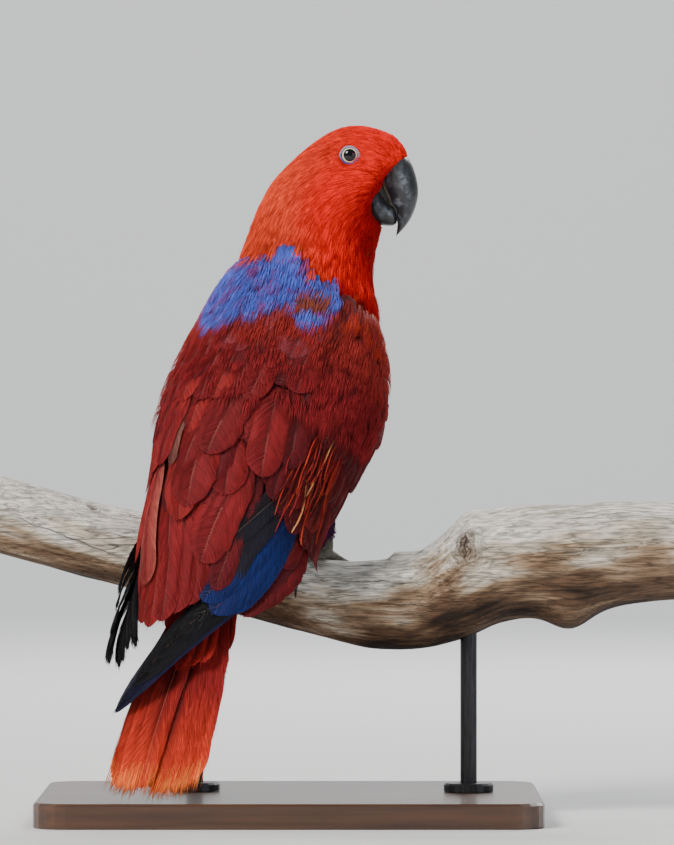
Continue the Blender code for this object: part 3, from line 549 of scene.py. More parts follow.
def plumeMaterial(name, rough, sheen, depth):
    # strands of a tuft: their own tint, with a soft cloud over it
    mat, tree, shader = newTree(name)
    dark = mathNode(tree, "MULTIPLY_ADD", cloudOf(tree, 260.0, 3.0), depth, 1.0 - depth * 0.5)
    setInputs(tree, shader, {"Base Color": tinted(tree, dark), "Roughness": rough, "Sheen Weight": sheen,
                             "Sheen Roughness": 0.45, "Specular IOR Level": 0.14})
    return mat


def vaneMaterial(name, rough, fineness, sheen):
    # a feather's blade: barb lines, a shaft, and a silky gloss that varies along the barbs
    mat, tree, shader = newTree(name)
    tint = attributeOf(tree, "tint")["Color"]
    values = {"Quill": attributeOf(tree, "quill")["Vector"], "Fineness": fineness}
    lines = addNode(tree, "ShaderNodeGroup", values, node_tree=barbLines).outputs
    wide = mathNode(tree, "MULTIPLY_ADD", cloudOf(tree, 120.0, 3.0), 0.3, 0.85)
    dark = mathNode(tree, "MULTIPLY", mathNode(tree, "MULTIPLY_ADD", lines["Value"], 0.5, 0.72), wide)
    pale = mixColour(tree, 0.22, tint, rgb(190, 150, 130))
    amount = mathNode(tree, "MULTIPLY", lines["Shaft"], 0.55)
    height = mathNode(tree, "ADD", lines["Value"], mathNode(tree, "MULTIPLY", lines["Shaft"], 1.5))
    setInputs(tree, shader, {"Base Color": mixColour(tree, amount, tinted(tree, dark), pale),
                             "Roughness": mathNode(tree, "MULTIPLY_ADD", lines["Value"], 0.22, rough - 0.1),
                             "Normal": bumpNode(tree, height, 0.5, 0.18), "Sheen Weight": sheen,
                             "Sheen Roughness": 0.4, "Specular IOR Level": 0.16})
    return mat


def skinMaterial():
    mat, tree, shader = newTree("featheredSkin")
    cloud = cloudOf(tree, 900.0, 4.0)
    # the tint darkened to between 0.35 and 0.7 of itself by a cloud: painted shade where the skin shows
    # between the strands
    dark = mathNode(tree, "MULTIPLY_ADD", cloud, 0.35, 0.35)
    setInputs(tree, shader, {"Base Color": tinted(tree, dark), "Roughness": 0.8, "Specular IOR Level": 0.08,
                             "Normal": bumpNode(tree, cloud, 0.6, 0.4)})
    return mat


plumeFine = plumeMaterial("hairFinePlumage", 0.66, 0.03, 0.07)
plumeSoft = plumeMaterial("softBodyPlumage", 0.66, 0.06, 0.3)
vaneWing = vaneMaterial("wingVanes", 0.62, 2.6, 0.0)
vaneFlight = vaneMaterial("flightVanes", 0.5, 2.2, 0.02)
vaneTail = vaneMaterial("tailVanes", 0.6, 2.0, 0.03)
skinMat = skinMaterial()
print("materials of the plumage made")


# skin: one closed surface under the coat

skin = {"voxel": 1.15, "smooth": 6, "headDepth": 1.3, "bodyDepth": 4.2, "socket": 5.6, "socketSide": 12.0}
eye = {"x": 28.7, "z": 318.7, "side": 15.2, "radius": 5.3}
billRoot = np.array([50.0, stance["headMiddle"], 309.0])
arm = {"deep": -13.0, "rim": -10.0, "low": -8.0, "full": -4.0, "stepsAlong": 16, "stepsRound": 20}
armTop = ((6.0, 226.0), (30.0, 238.0), (60.0, 252.0), (80.0, 259.0), (98.0, 252.0), (106.0, 240.0))
armLow = ((6.0, 150.0), (30.0, 140.0), (60.0, 140.0), (80.0, 150.0), (98.0, 168.0), (106.0, 190.0))
# places where the coat is fuller: middle, push, reach
skinSwells = (
    ((41.5, 18.0, 285.5), (4.4, 0.0, -0.4), (7.0, 12.0, 3.6)),
    ((41.0, 18.0, 304.0), (1.6, 0.0, 0.5), (4.0, 14.0, 5.0)),
    ((48.0, 18.0, 323.0), (1.0, 0.0, 1.5), (9.0, 7.0, 6.0)),
    ((34.0, 18.0, 330.0), (0.0, 0.0, 0.8), (20.0, 14.0, 9.0)),
)


def copyOfNode(name):
    source = frame["nodes"][name]
    thing = source.copy()
    thing.data = source.data.copy()
    thing.parent = None
    bpy.context.scene.collection.objects.link(thing)
    for key in list(thing.keys()):
        del thing[key]
    return thing


def armShell(side):
    # the folded arm's flesh: a slab laid over the sheet, thin at its rim
    rows = arm["stepsAlong"] + 1
    columns = arm["stepsRound"] + 1
    first, last = armTop[0][0], armTop[-1][0]
    t = np.arange(rows) / arm["stepsAlong"]
    upper = []
    lower = []
    for q in mix(first, last, np.arange(columns) / arm["stepsRound"]):
        high = float(readRows(armTop, q)[0])
        low = float(readRows(armLow, q)[0])
        inside = min(ease(-4.0, 18.0, q - first), ease(-3.0, 14.0, last - q))
        rim = np.minimum(ease(0.0, 0.3, t), inside)
        wrist = np.maximum(ease(0.5, 0.85, t), 0.8 * ease(55.0, 90.0, q))
        h = mix(arm["rim"], mix(arm["low"], arm["full"], wrist), rim)
        upper.append(sheetPoint(mix(low, high, t), q * side, h)[0])
        lower.append(sheetPoint(mix(low, high, t), q * side, np.full(rows, arm["deep"]))[0])
    half = rows * columns
    numbers = np.arange(half).reshape(columns, rows)
    faces = []
    for a in numbers[:-1, :-1].ravel().tolist():
        faces.append((a, a + 1, a + rows + 1, a + rows))
        faces.append((half + a, half + a + rows, half + a + rows + 1, half + a + 1))
    faces += [(a, b, b + half, a + half) for a, b in gridRim(numbers.T)]
    mesh = bpy.data.meshes.new("arm")
    mesh.from_pydata([tuple(p) for p in np.concatenate(upper + lower) * mm], [], faces)
    return addObject("arm", mesh)


def eyeAway(points):
    return np.hypot(points[:, 0] - eye["x"], points[:, 2] - eye["z"])


def skinDepth(points):
    # how far the skin lies under the frame's surface: the coat fills the rest
    s, q = sheetPlace(points)
    depth = mix(skin["headDepth"], skin["bodyDepth"], ease(0.2, 0.6, spinePlace(points)[0]))
    fromBill = np.linalg.norm(points - billRoot, axis=1)
    depth *= mix(0.25, 1.0, ease(8.0, 20.0, fromBill)) * mix(0.3, 1.0, ease(5.0, 9.0, eyeAway(points)))
    legs = (points[:, 2] < 170.0) & (np.abs(q) > 85.0)
    depth = np.where(legs, np.minimum(depth, 2.0), depth)
    covered = (np.abs(q) < 104.0) & (s < 250.0) & (s > 140.0)
    return np.where(covered, np.minimum(depth, 1.0), depth)


def makeSkin():
    parts = [copyOfNode(n) for n in ("torso", "head", "neck", "thigh_left", "thigh_right")]
    parts += [armShell(1.0), armShell(-1.0)]
    for side in (-1.0, 1.0):
        deselectAll()
        place = (eye["x"], stance["headMiddle"] + side * skin["socketSide"], eye["z"])
        bpy.ops.mesh.primitive_uv_sphere_add(radius=skin["socket"] * mm, segments=32, ring_count=20,
                                             location=[k * mm for k in place])
        parts.append(bpy.context.object)
    thing = joinAll(parts, "skin")
    closeMesh(thing, 0.002)
    bpy.ops.object.transform_apply(location=True, rotation=True, scale=True)
    oneSurface(thing, skin["voxel"], skin["smooth"], skinMat)
    points = meshPoints(thing)
    spots = points - meshNormals(thing) * skinDepth(points)[:, None]
    for place, push, reach in skinSwells:
        away = np.linalg.norm((spots - np.array(place)) / np.array(reach), axis=1)
        spots = spots + np.array(push)[None] * bell(away, 1.0)[:, None]
    away = eyeAway(spots)
    aside = spots[:, 1] - stance["headMiddle"]
    cheek = 18.6 + 0.55 * np.clip(away - 4.4, 0.0, 9.0) + 30.0 * ease(6.0, 9.0, away)
    near = (spots[:, 2] > 300.0) & (np.abs(aside) > cheek)
    spots[near, 1] = stance["headMiddle"] + np.sign(aside[near]) * cheek[near]
    setMeshPoints(thing, spots)
    return thing


skinPiece = makeSkin()
skinSpots = meshPoints(skinPiece)
paint(skinPiece, plumageTint(skinSpots, np.full((len(skinSpots), 2), 0.5)))
keep(skinPiece, "body_feathers", "head", "neck", "torso", "thigh_left", "thigh_right")
skinTree = BVHTree.FromObject(skinPiece, bpy.context.evaluated_depsgraph_get())
print("skin made", len(skinPiece.data.polygons))


# strands: thin closed three-sided blades, many to a tuft

strandRings = ((0.0, 0.85), (0.5, 0.8))     # place along the strand, share of its full width
strandFaces = np.array(((0, 1, 2), (0, 4, 1), (0, 3, 4), (1, 5, 2), (1, 4, 5),
                        (2, 3, 0), (2, 5, 3), (3, 6, 4), (4, 6, 5), (5, 6, 3)))
strandPatch = 0.003
strandsMost = 19000


def packStrands(spots, normals, width, thin, tints, place):
    # one flat row a strand: three points, their normals, width, thickness, two tints, patch
    full = spots[0].shape
    flat = [np.broadcast_to(k, full).reshape(-1, 3) for k in (*spots, *normals, *tints)]
    width = np.broadcast_to(width, full[:2]).reshape(-1)
    place = np.broadcast_to(place, (*full[:2], 2)).reshape(-1, 2)
    return [*flat[:6], width, width * thin, *flat[6:], place]


def strandMesh(p0, p1, p2, n0, n1, n2, width, thick, tint0, tint1, place):
    # each strand bends through three points; place is its patch's corner on the bake map
    control = 2.0 * p1 - (p0 + p2) / 2.0
    rings = []
    tints = []
    patches = []
    for u, wide in strandRings:
        spot = (1 - u) ** 2 * p0 + 2 * u * (1 - u) * control + u * u * p2
        way = unit(2 * (1 - u) * (control - p0) + 2 * u * (p2 - control))
        normal = unit((1 - u) ** 2 * n0 + 2 * u * (1 - u) * n1 + u * u * n2)
        side = unit(np.cross(way, normal)) * (width * wide / 2.0)[:, None]
        rings += [spot - side, spot + side, spot + normal * (thick * wide)[:, None]]
        tints += [mix(tint0, tint1, u ** 0.7)] * 3
        patches += [place + strandPatch * np.array([across, u]) for across in (-0.5, 0.5, 0.0)]
    points = np.stack([*rings, p2], 1)
    patches.append(place + strandPatch * np.array([0.0, 1.0]))
    triangles = strandFaces[None] + (np.arange(len(p0)) * points.shape[1])[:, None, None]
    return (points.reshape(-1, 3), triangles.reshape(-1, 3),
            np.stack([*tints, tint1], 1).reshape(-1, 3), np.stack(patches, 1).reshape(-1, 2))


def strandPieces(name, strands, mat, slotName):
    # cut into pieces by where the strands lie, so each piece stays small enough
    order = np.argsort(strands[-1][:, 1], kind="stable")
    pieces = math.ceil(len(order) / strandsMost)
    for n in range(pieces):
        part = order[len(order) * n // pieces:len(order) * (n + 1) // pieces]
        arrays = strandMesh(*[k[part] for k in strands])
        keep(trianglePiece(name + str(n + 1), mat, *arrays), slotName)
    print(name, "strands", len(order), "pieces", pieces)


def nearestOnSkin(points):
    spots = np.empty_like(points)
    normals = np.empty_like(points)
    for i, p in enumerate(points * mm):
        spot, normal, index, away = skinTree.find_nearest(p)
        spots[i] = spot
        normals[i] = normal
    return spots / mm, normals


def lieOfCoat(points, normals):
    # away from the bill over the face, then along the body to the tail, flat on the skin
    away = points - billRoot
    amount = ease(6.0, 62.0, np.linalg.norm(away, axis=1))[:, None]
    return flatten(unit(mix(unit(away), spinePlace(points)[1], amount)), normals)


def growTufts(spots, normals, setup, draw):
    # strands of all tufts of one kind, laid over the skin from each root in two steps
    count = len(spots)
    each = setup["strands"]
    shape = (count, each)
    length = setup["length"] * draw.uniform(0.85, 1.15, count)[:, None]
    lift = setup["lift"] * draw.uniform(0.8, 1.2, count)[:, None]
    way = lieOfCoat(spots, normals)
    swirl = noiseAt(spots, 9.0, 5.0) * setup["swirl"] + draw.normal(0.0, setup["jitter"], count)
    way = unit(way * np.cos(swirl)[:, None] + np.cross(normals, way) * np.sin(swirl)[:, None])
    middle, middleNormal = nearestOnSkin(spots + way * (length * 0.5))
    ahead = flatten(middle - spots, middleNormal)
    end, endNormal = nearestOnSkin(middle + ahead * (length * 0.5))
    last = flatten(end - middle, endNormal)
    v = np.linspace(-1.0, 1.0, each)[None] + draw.normal(0.0, 0.12, shape)
    shorter = 1.0 - 0.25 * v * v + draw.normal(0.0, 0.07, shape)
    back = draw.uniform(-0.1, 0.15, shape) * length
    uneven = 1.0 + setup["uneven"] * draw.uniform(-1.0, 1.0, shape)
    rise = lift * (1.0 - 0.25 * v * v) * uneven
    sides = []
    for w, n, spread in ((way, normals, 0.35), (ahead, middleNormal, 0.8), (last, endNormal, 1.0)):
        sides.append(np.cross(w, n)[:, None] * (v * (setup["half"] * spread))[..., None])
    p0 = spots[:, None] + sides[0] - way[:, None] * back[..., None] - normals[:, None] * 0.5
    p1 = middle[:, None] + sides[1] + middleNormal[:, None] * (rise * setup["lay"])[..., None]
    p2 = middle[:, None] + (end - middle)[:, None] * shorter[..., None]
    p2 = p2 + sides[2] + endNormal[:, None] * rise[..., None]
    tint = plumageTint(mix(spots, end, 0.45), draw.uniform(0.0, 1.0, (count, 2)))
    shade = mix(1.06, 0.9, v * v) * (1.0 + setup["vary"] * draw.uniform(-1.0, 1.0, shape))
    tint = tint[:, None] * shade[..., None]
    width = setup["width"] * draw.uniform(0.75, 1.25, shape)
    normals = [k[:, None] for k in (normals, middleNormal, endNormal)]
    tints = (tint * setup["rootShade"], tint)
    return packStrands((p0, p1, p2), normals, width, 0.4, tints, bakePlace(spots)[:, None])


def spreadRoots(draw, density):
    # roots spread over the skin, closer where the tufts are small
    mesh = skinPiece.data
    mesh.calc_loop_triangles()
    corner = np.zeros(len(mesh.loop_triangles) * 3, np.int32)
    mesh.loop_triangles.foreach_get("vertices", corner)
    a, b, c = (skinSpots[corner.reshape(-1, 3)[:, k]] for k in range(3))
    across = np.cross(b - a, c - a)
    chance = np.linalg.norm(across, axis=1) / 2.0 * density((a + b + c) / 3.0)
    count = int(chance.sum())
    pick = draw.choice(len(chance), count, p=chance / chance.sum())
    u, v = draw.uniform(0.0, 1.0, (2, count))
    over = u + v > 1.0
    u = np.where(over, 1.0 - u, u)
    v = np.where(over, 1.0 - v, v)
    spots = a[pick] + (b - a)[pick] * u[:, None] + (c - a)[pick] * v[:, None]
    return spots, unit(across[pick])


def underWings(points):
    s, q = sheetPlace(points)
    top = readRows(armTop, np.abs(q))[:, 0] - 6.0
    return ((s < top) & (s > 112.0) & (np.abs(q) < 100.0)) | (s < 104.0)


def inEyeRing(points):
    away = np.hypot(points[:, 0] - eye["x"] - 0.5, points[:, 2] - eye["z"] - 0.2)
    return (away < 5.6) & (points[:, 2] > 300.0)


billTrees = [BVHTree.FromObject(frame["nodes"][n], bpy.context.evaluated_depsgraph_get())
             for n in ("beak_upper", "beak_lower")]


def insideBill(points):
    inside = np.zeros(len(points), bool)
    near = np.linalg.norm(points - billRoot, axis=1) < 24.0
    for i in np.nonzero(near)[0]:
        p = Vector(points[i] * mm)
        for tree in billTrees:
            spot, normal, index, away = tree.find_nearest(p)
            if (p - spot).dot(normal) < 0.0002:
                inside[i] = True
    return inside


coat = {
    "face": {"density": 2.3, "strands": 3, "length": 4.6, "half": 0.6, "width": 0.32, "lift": 0.34,
             "swirl": 0.03, "jitter": 0.02, "rootShade": 0.9, "vary": 0.22, "lay": 0.85, "uneven": 0.5},
    "head": {"density": 0.92, "strands": 4, "length": 12.0, "half": 1.1, "width": 0.42, "lift": 0.72,
             "swirl": 0.03, "jitter": 0.018, "rootShade": 0.86, "vary": 0.28, "lay": 0.86, "uneven": 0.55},
    "neck": {"density": 0.44, "strands": 7, "length": 15.0, "half": 1.9, "width": 0.46, "lift": 1.3,
             "swirl": 0.05, "jitter": 0.03, "rootShade": 0.76, "vary": 0.27, "lay": 0.82, "uneven": 0.5},
    "breast": {"density": 0.152, "strands": 7, "length": 16.0, "half": 2.8, "width": 0.72, "lift": 3.7,
               "swirl": 0.12, "jitter": 0.07, "rootShade": 0.45, "vary": 0.24, "lay": 0.62, "uneven": 0.15},
}


# how far the face reaches from the bill and round the eye, and where head and neck end along the body
coatEnds = {"face": 16.0, "eye": 8.0, "head": 0.36, "neck": 0.5}


def coatZone(points):
    # 0 face, 1 head, 2 neck, 3 breast, belly, mantle and thighs
    along, way, turn = spinePlace(points)
    fromBill = np.linalg.norm(points - billRoot, axis=1)
    face = fromBill + noiseAt(points, 1.5, 2.0) * 5.0 < coatEnds["face"]
    face |= (eyeAway(points) < coatEnds["eye"]) & (along < 0.3)
    along = along + noiseAt(points, 4.0, 7.0) * 0.03 + noiseAt(points, 0.9, 9.0) * 0.02
    neckEnd = coatEnds["neck"] + 0.12 * ease(-0.2, 0.5, -np.cos(turn))
    zone = np.where(along < coatEnds["head"], 1, np.where(along < neckEnd, 2, 3))
    return np.where(face, 0, zone)


def growCoat():
    # nothing grows under the folded wings, in the eye's ring or inside the bill
    draw = np.random.default_rng(19)
    slots = ("head_feathers", "head_feathers", "neck_feathers", "body_feathers")
    for zone, (name, setup) in enumerate(coat.items()):
        density = setup["density"]
        spots, normals = spreadRoots(draw, lambda p: density * (coatZone(p) == zone) * ~underWings(p))
        clear = ~(underWings(spots) | inEyeRing(spots) | insideBill(spots))
        strands = growTufts(spots[clear], normals[clear], setup, draw)
        strandPieces(name + "Coat", strands, plumeSoft if name == "breast" else plumeFine, slots[zone])


growCoat()


# vanes: closed thin blades with a shaft and a fringe, laid along the wing's sheet or the tail

fineBlade = {"rows": 17, "tipRows": 7, "across": (-1.0, -0.62, -0.28, 0.0, 0.28, 0.62, 1.0)}
plainBlade = {"rows": 12, "tipRows": 5, "across": (-1.0, -0.5, 0.0, 0.5, 1.0)}


def tailPoint(s, x, h):
    # a point of the tail: along the axis, across it, and off it
    s, x, h = np.broadcast_arrays(np.asarray(s, float), np.asarray(x, float), np.asarray(h, float))
    spot = tailTip + s[..., None] * alongWay + x[..., None] * rightWay + h[..., None] * backWay
    return spot, np.broadcast_to(backWay, spot.shape)


def vaneWidth(vanes, u):
    # half the blade's width, narrow at the root and closed in at the tip
    tip = np.clip((u - vanes["round"]) / (1.0 - vanes["round"]), 0.0, 1.0)
    closing = np.sqrt(np.clip(1.0 - tip ** vanes["point"], 0.02, 1.0))
    return vanes["half"] * mix(0.5, 1.0, ease(0.0, 0.35, u)) * closing


def vaneSpot(vanes, u, x, off=0.0):
    # u runs from root to tip, x is millimetres to the blade's side
    along = vanes["tip"] - vanes["root"]
    way = along / vanes["length"]
    side = np.stack([way[:, 1], -way[:, 0]], 1)
    bend = vanes["bow"] * 4.0 * u * (1.0 - np.minimum(u, 1.0))
    middle = vanes["root"][:, None] + along[:, None] * u[..., None] + side[:, None] * (bend + x)[..., None]
    v = x / vanes["half"]
    h = vanes["level"] - vanes["sink"] * np.clip(1.0 - u, 0.0, 1.0) ** 1.3
    h = h + vanes["tilt"] * vanes["side"] * v + vanes["camber"] * (1.0 - v * v)
    h = h - 0.55 * ease(0.72, 1.0, u)
    wave = np.sin(u * 9.0 + vanes["phase"]) * np.abs(v) * 0.16
    return vanes["place"](middle[..., 0], middle[..., 1], h + wave + off)


def vaneTint(vanes, u, v):
    # inner and outer web, dusky tip, and a darker root: painted shade where the vanes above cover it
    tint = mix(vanes["inner"], vanes["outer"], ease(-0.12, 0.12, v * vanes["side"])[..., None])
    tint = mix(tint, vanes["edge"], (np.abs(v) ** 3)[..., None] * vanes["edgeAmount"][..., None])
    tip = ease(0.0, 1.0, (u - vanes["tipStart"]) / (1.02 - vanes["tipStart"]))
    tint = mix(tint, vanes["tipTint"], tip[..., None] * vanes["tipAmount"][..., None])
    return tint * mix(0.55, 1.0, ease(0.05, 0.4, u))[..., None] * vanes["light"][..., None]


def vanePatch(vanes, u, v):
    spot = np.stack([0.5 + 0.42 * v, 0.06 + 0.88 * np.clip(u, 0.0, 1.0)], -1)
    return vanes["cell"][:, None] + spot * vanes["cellSize"]


def bladeArrays(vanes, draw):
    # closed blades, top and underside, with ragged edges
    count = len(vanes["root"])
    rows = vanes["blade"]["rows"]
    across = np.array(vanes["blade"]["across"])
    columns = len(across)
    t0 = vanes["round"]
    tipRows = vanes["blade"]["tipRows"]
    steps = np.linspace(0.0, 1.0, rows - tipRows)[None]
    tipSteps = np.sin(np.linspace(0.0, math.pi / 2.0, tipRows + 1))[None, 1:]
    u = np.concatenate([steps * t0, t0 + (1.0 - t0) * tipSteps], 1)
    width = vaneWidth(vanes, u)
    ragged = 1.0 - np.clip(draw.normal(0.0, 0.06, (count, rows, 2)), 0.0, 0.3)
    v = np.broadcast_to(across, (count, rows, columns)).copy()
    v[..., 0] *= ragged[..., 0]
    v[..., -1] *= ragged[..., 1]
    lean = np.abs(v) * (width * 0.25 / vanes["length"])[..., None]
    us = (u[..., None] + lean * (1.0 - u[..., None])).reshape(count, -1)
    x = (v * width[..., None]).reshape(count, -1)
    v = v.reshape(count, -1)
    top, normal = vaneSpot(vanes, us, x)
    low = top - normal * np.where(np.abs(v) > 0.9, 0.12, 0.28)[..., None]
    half = rows * columns
    numbers = np.arange(half).reshape(rows, columns)
    faces = []
    for a in numbers[:-1, :-1].ravel().tolist():
        b = a + columns
        faces += [(a, b + 1, b), (a, a + 1, b + 1), (half + a, half + b, half + b + 1),
                  (half + a, half + b + 1, half + a + 1)]
    for a, b in gridRim(numbers):
        faces += [(a, b + half, b), (a, a + half, b + half)]
    triangles = np.array(faces)[None, :, ::-1] + (np.arange(count) * half * 2)[:, None, None]
    barb = us * vanes["length"] - np.abs(x) * 1.15
    quill = np.stack([barb, v, np.broadcast_to(vanes["phase"], barb.shape)], -1)
    pairs = ((top, low), *((k, k) for k in (vaneTint(vanes, us, v), vanePatch(vanes, us, v), quill)))
    points, tint, patch, quill = (np.concatenate(k, 1).reshape(-1, k[0].shape[-1]) for k in pairs)
    return points, triangles.reshape(-1, 3), tint, patch, quill


def fringeStrands(vanes, draw, each, reach):
    # loose barbs past the edges and the tip
    shape = (len(vanes["root"]), each)
    u0 = draw.uniform(0.25, 1.0, shape)
    sign = np.where(draw.uniform(0.0, 1.0, shape) > 0.5, 1.0, -1.0)
    run = reach * draw.uniform(0.6, 1.3, shape)
    u1 = u0 + run * 0.5 / vanes["length"]
    u2 = u0 + run / vanes["length"]
    inside = draw.uniform(0.55, 0.9, shape)
    x0 = sign * vaneWidth(vanes, u0) * inside
    x1 = sign * (vaneWidth(vanes, np.minimum(u1, 1.0)) * 0.92 + 0.05)
    x1 = np.where(np.abs(x1) < np.abs(x0) * 0.9, x0 * 0.9, x1)
    x2 = x1 + sign * run * 0.22 * ease(1.0, 0.8, u0)
    spots, normals = zip(vaneSpot(vanes, u0, x0, -0.1), vaneSpot(vanes, u1, x1, 0.08),
                         vaneSpot(vanes, u2, x2))
    tint = vaneTint(vanes, u0, sign * 0.95) * draw.uniform(0.75, 1.3, shape)[..., None]
    patch = vanePatch(vanes, u0, sign * inside)
    # the root end a little darker: painted shade where each loose barb leaves its blade
    return packStrands(spots, normals, draw.uniform(0.2, 0.34, shape), 0.35, (tint * 0.9, tint), patch)


def barbStrands(vanes, draw, each, reach):
    # barbs over each blade, from its shaft out to the edge and a little past it
    shape = (len(vanes["root"]), each)
    length = vanes["length"]
    u0 = np.linspace(0.04, 0.99, each)[None] + draw.normal(0.0, 0.5 / each, shape)
    sign = np.where(np.arange(each) % 2 == 0, 1.0, -1.0)[None]
    run = vanes["sweep"] * vaneWidth(vanes, np.clip(u0, 0.0, 1.0)) * draw.uniform(1.1, 1.6, shape) / length
    past = reach * np.clip(draw.normal(0.25, 0.3, shape), -0.1, 1.0)
    u2 = np.minimum(u0 + run, u0 * 0.5 + 0.52) + past * 0.6 / length
    u1 = mix(u0, u2, 0.42)
    tipU = np.clip(u2, 0.0, 1.0)
    x2 = sign * (vaneWidth(vanes, tipU) * draw.uniform(0.93, 1.0, shape) + past * 0.5)
    x1 = x2 * 0.56
    spots, normals = zip(vaneSpot(vanes, u0, x2 * 0.03, 0.06),
                         vaneSpot(vanes, u1, x1, 0.1 + draw.uniform(-0.03, 0.08, shape)),
                         vaneSpot(vanes, u2, x2, 0.03 + draw.uniform(-0.04, 0.06, shape)))
    shade = np.clip(draw.normal(1.0, vanes["spread"], shape), 0.5, 1.5)[..., None]
    v2 = np.maximum(np.abs(np.clip(x2 / vanes["half"], -1.0, 1.0)), 0.9)
    # the root end a little darker: painted shade
    tint0 = vaneTint(vanes, u0, sign * 0.25) * shade * 0.94
    tint1 = vaneTint(vanes, tipU, sign * v2) * shade
    patch = vanePatch(vanes, np.clip(u1, 0.0, 1.0), np.clip(x1 / vanes["half"], -1.0, 1.0))
    width = np.clip(length / each * 1.15, 0.3, 0.55) * draw.uniform(0.75, 1.25, shape)
    return packStrands(spots, normals, width, 0.3, (tint0, tint1), patch)


def tipFray(vanes, draw, each, reach):
    # long loose ends past the tips
    shape = (len(vanes["root"]), each)
    u0 = draw.uniform(0.86, 0.985, shape)
    x0 = vaneWidth(vanes, u0) * draw.uniform(-0.95, 0.95, shape)
    end = np.maximum(u0, 0.96) + reach * draw.uniform(0.5, 1.5, shape) / vanes["length"]
    aim = x0 * draw.uniform(0.8, 1.15, shape)
    spots, normals = zip(vaneSpot(vanes, u0, x0, 0.05),
                         vaneSpot(vanes, mix(u0, end, 0.5), mix(x0, aim, 0.5), 0.1),
                         vaneSpot(vanes, end, aim, draw.uniform(-0.6, 0.5, shape)))
    v0 = x0 / vanes["half"]
    tint = vaneTint(vanes, np.ones(shape), v0) * draw.uniform(0.8, 1.2, shape)[..., None] * vanes["frayTint"]
    patch = vanePatch(vanes, np.ones(shape), v0)
    return packStrands(spots, normals, draw.uniform(0.3, 0.5, shape), 0.35, (tint, tint), patch)


def shaftStrands(vanes):
    level = np.zeros((len(vanes["root"]), 1))
    spots, normals = zip(*(vaneSpot(vanes, level + u, level, 0.12) for u in (0.02, 0.5, 0.98)))
    tint = mix(vanes["inner"], vanes["shaft"], 0.5)
    patch = vanePatch(vanes, level + 0.5, level)
    return packStrands(spots, normals, vanes["half"] * 0.05 + 0.1, 0.45, (tint, tint), patch)


# a kind: the colours of both webs, edge, tip and shaft, how strong edge and tip are, where the tip starts
kindFields = ("inner", "outer", "edge", "tipTint", "shaft", "edgeAmount", "tipAmount", "tipStart")
vaneKinds = {
    "maroon": ((116, 22, 27), (128, 27, 31), (156, 46, 44), (92, 18, 26), (104, 20, 24), 0.35, 0.3, 0.7),
    "wine": ((88, 15, 22), (98, 19, 26), (122, 32, 34), (60, 12, 20), (70, 14, 18), 0.3, 0.35, 0.7),
    "brick": ((134, 29, 30), (148, 35, 35), (178, 60, 54), (108, 24, 28), (120, 24, 24), 0.35, 0.3, 0.75),
    # mauve, pink and grey: maroon lightened by painted sheen
    "mauve": ((122, 36, 44), (138, 50, 58), (164, 84, 86), (112, 34, 42), (124, 48, 52), 0.4, 0.3, 0.7),
    "pink": ((140, 38, 40), (156, 52, 50), (200, 120, 104), (130, 34, 36), (110, 28, 30), 0.5, 0.4, 0.7),
    "grey": ((104, 50, 48), (128, 74, 66), (164, 112, 98), (84, 40, 40), (80, 34, 36), 0.5, 0.5, 0.6),
    "blue": ((15, 14, 24), (18, 34, 92), (30, 50, 112), (17, 30, 88), (16, 20, 42), 0.3, 0.6, 0.7),
    "charcoal": ((24, 20, 26), (24, 24, 36), (60, 54, 62), (17, 15, 21), (120, 108, 106), 0.35, 0.4, 0.6),
    "primary": ((9, 8, 10), (9, 9, 13), (30, 28, 36), (12, 11, 17), (44, 40, 46), 0.6, 0.5, 0.7),
    "navy": ((14, 14, 30), (20, 20, 50), (30, 32, 72), (20, 16, 36), (44, 40, 56), 0.5, 0.6, 0.6),
    "black": ((14, 11, 14), (12, 11, 20), (32, 28, 38), (10, 8, 11), (34, 28, 32), 0.3, 0.5, 0.6),
    "strip": ((84, 15, 20), (118, 23, 25), (134, 34, 32), (70, 14, 28), (70, 14, 20), 0.3, 0.5, 0.6),
    "flank": ((64, 12, 15), (80, 15, 17), (130, 56, 42), (140, 70, 50), (60, 14, 16), 0.25, 0.35, 0.8),
    "ember": ((158, 36, 24), (170, 42, 26), (186, 60, 36), (190, 78, 44), (190, 70, 40), 0.3, 0.5, 0.6),
    "gold": ((226, 150, 84), (232, 166, 100), (236, 180, 120), (240, 190, 130), (240, 190, 130),
             0.3, 0.5, 0.6),
    "tailRed": ((106, 14, 20), (134, 21, 26), (182, 54, 48), (238, 70, 38), (226, 120, 92), 0.45, 1.0, 0.52),
    "tailCover": ((130, 19, 19), (150, 25, 23), (184, 48, 38), (160, 36, 30), (130, 24, 24), 0.35, 0.4, 0.6),
}


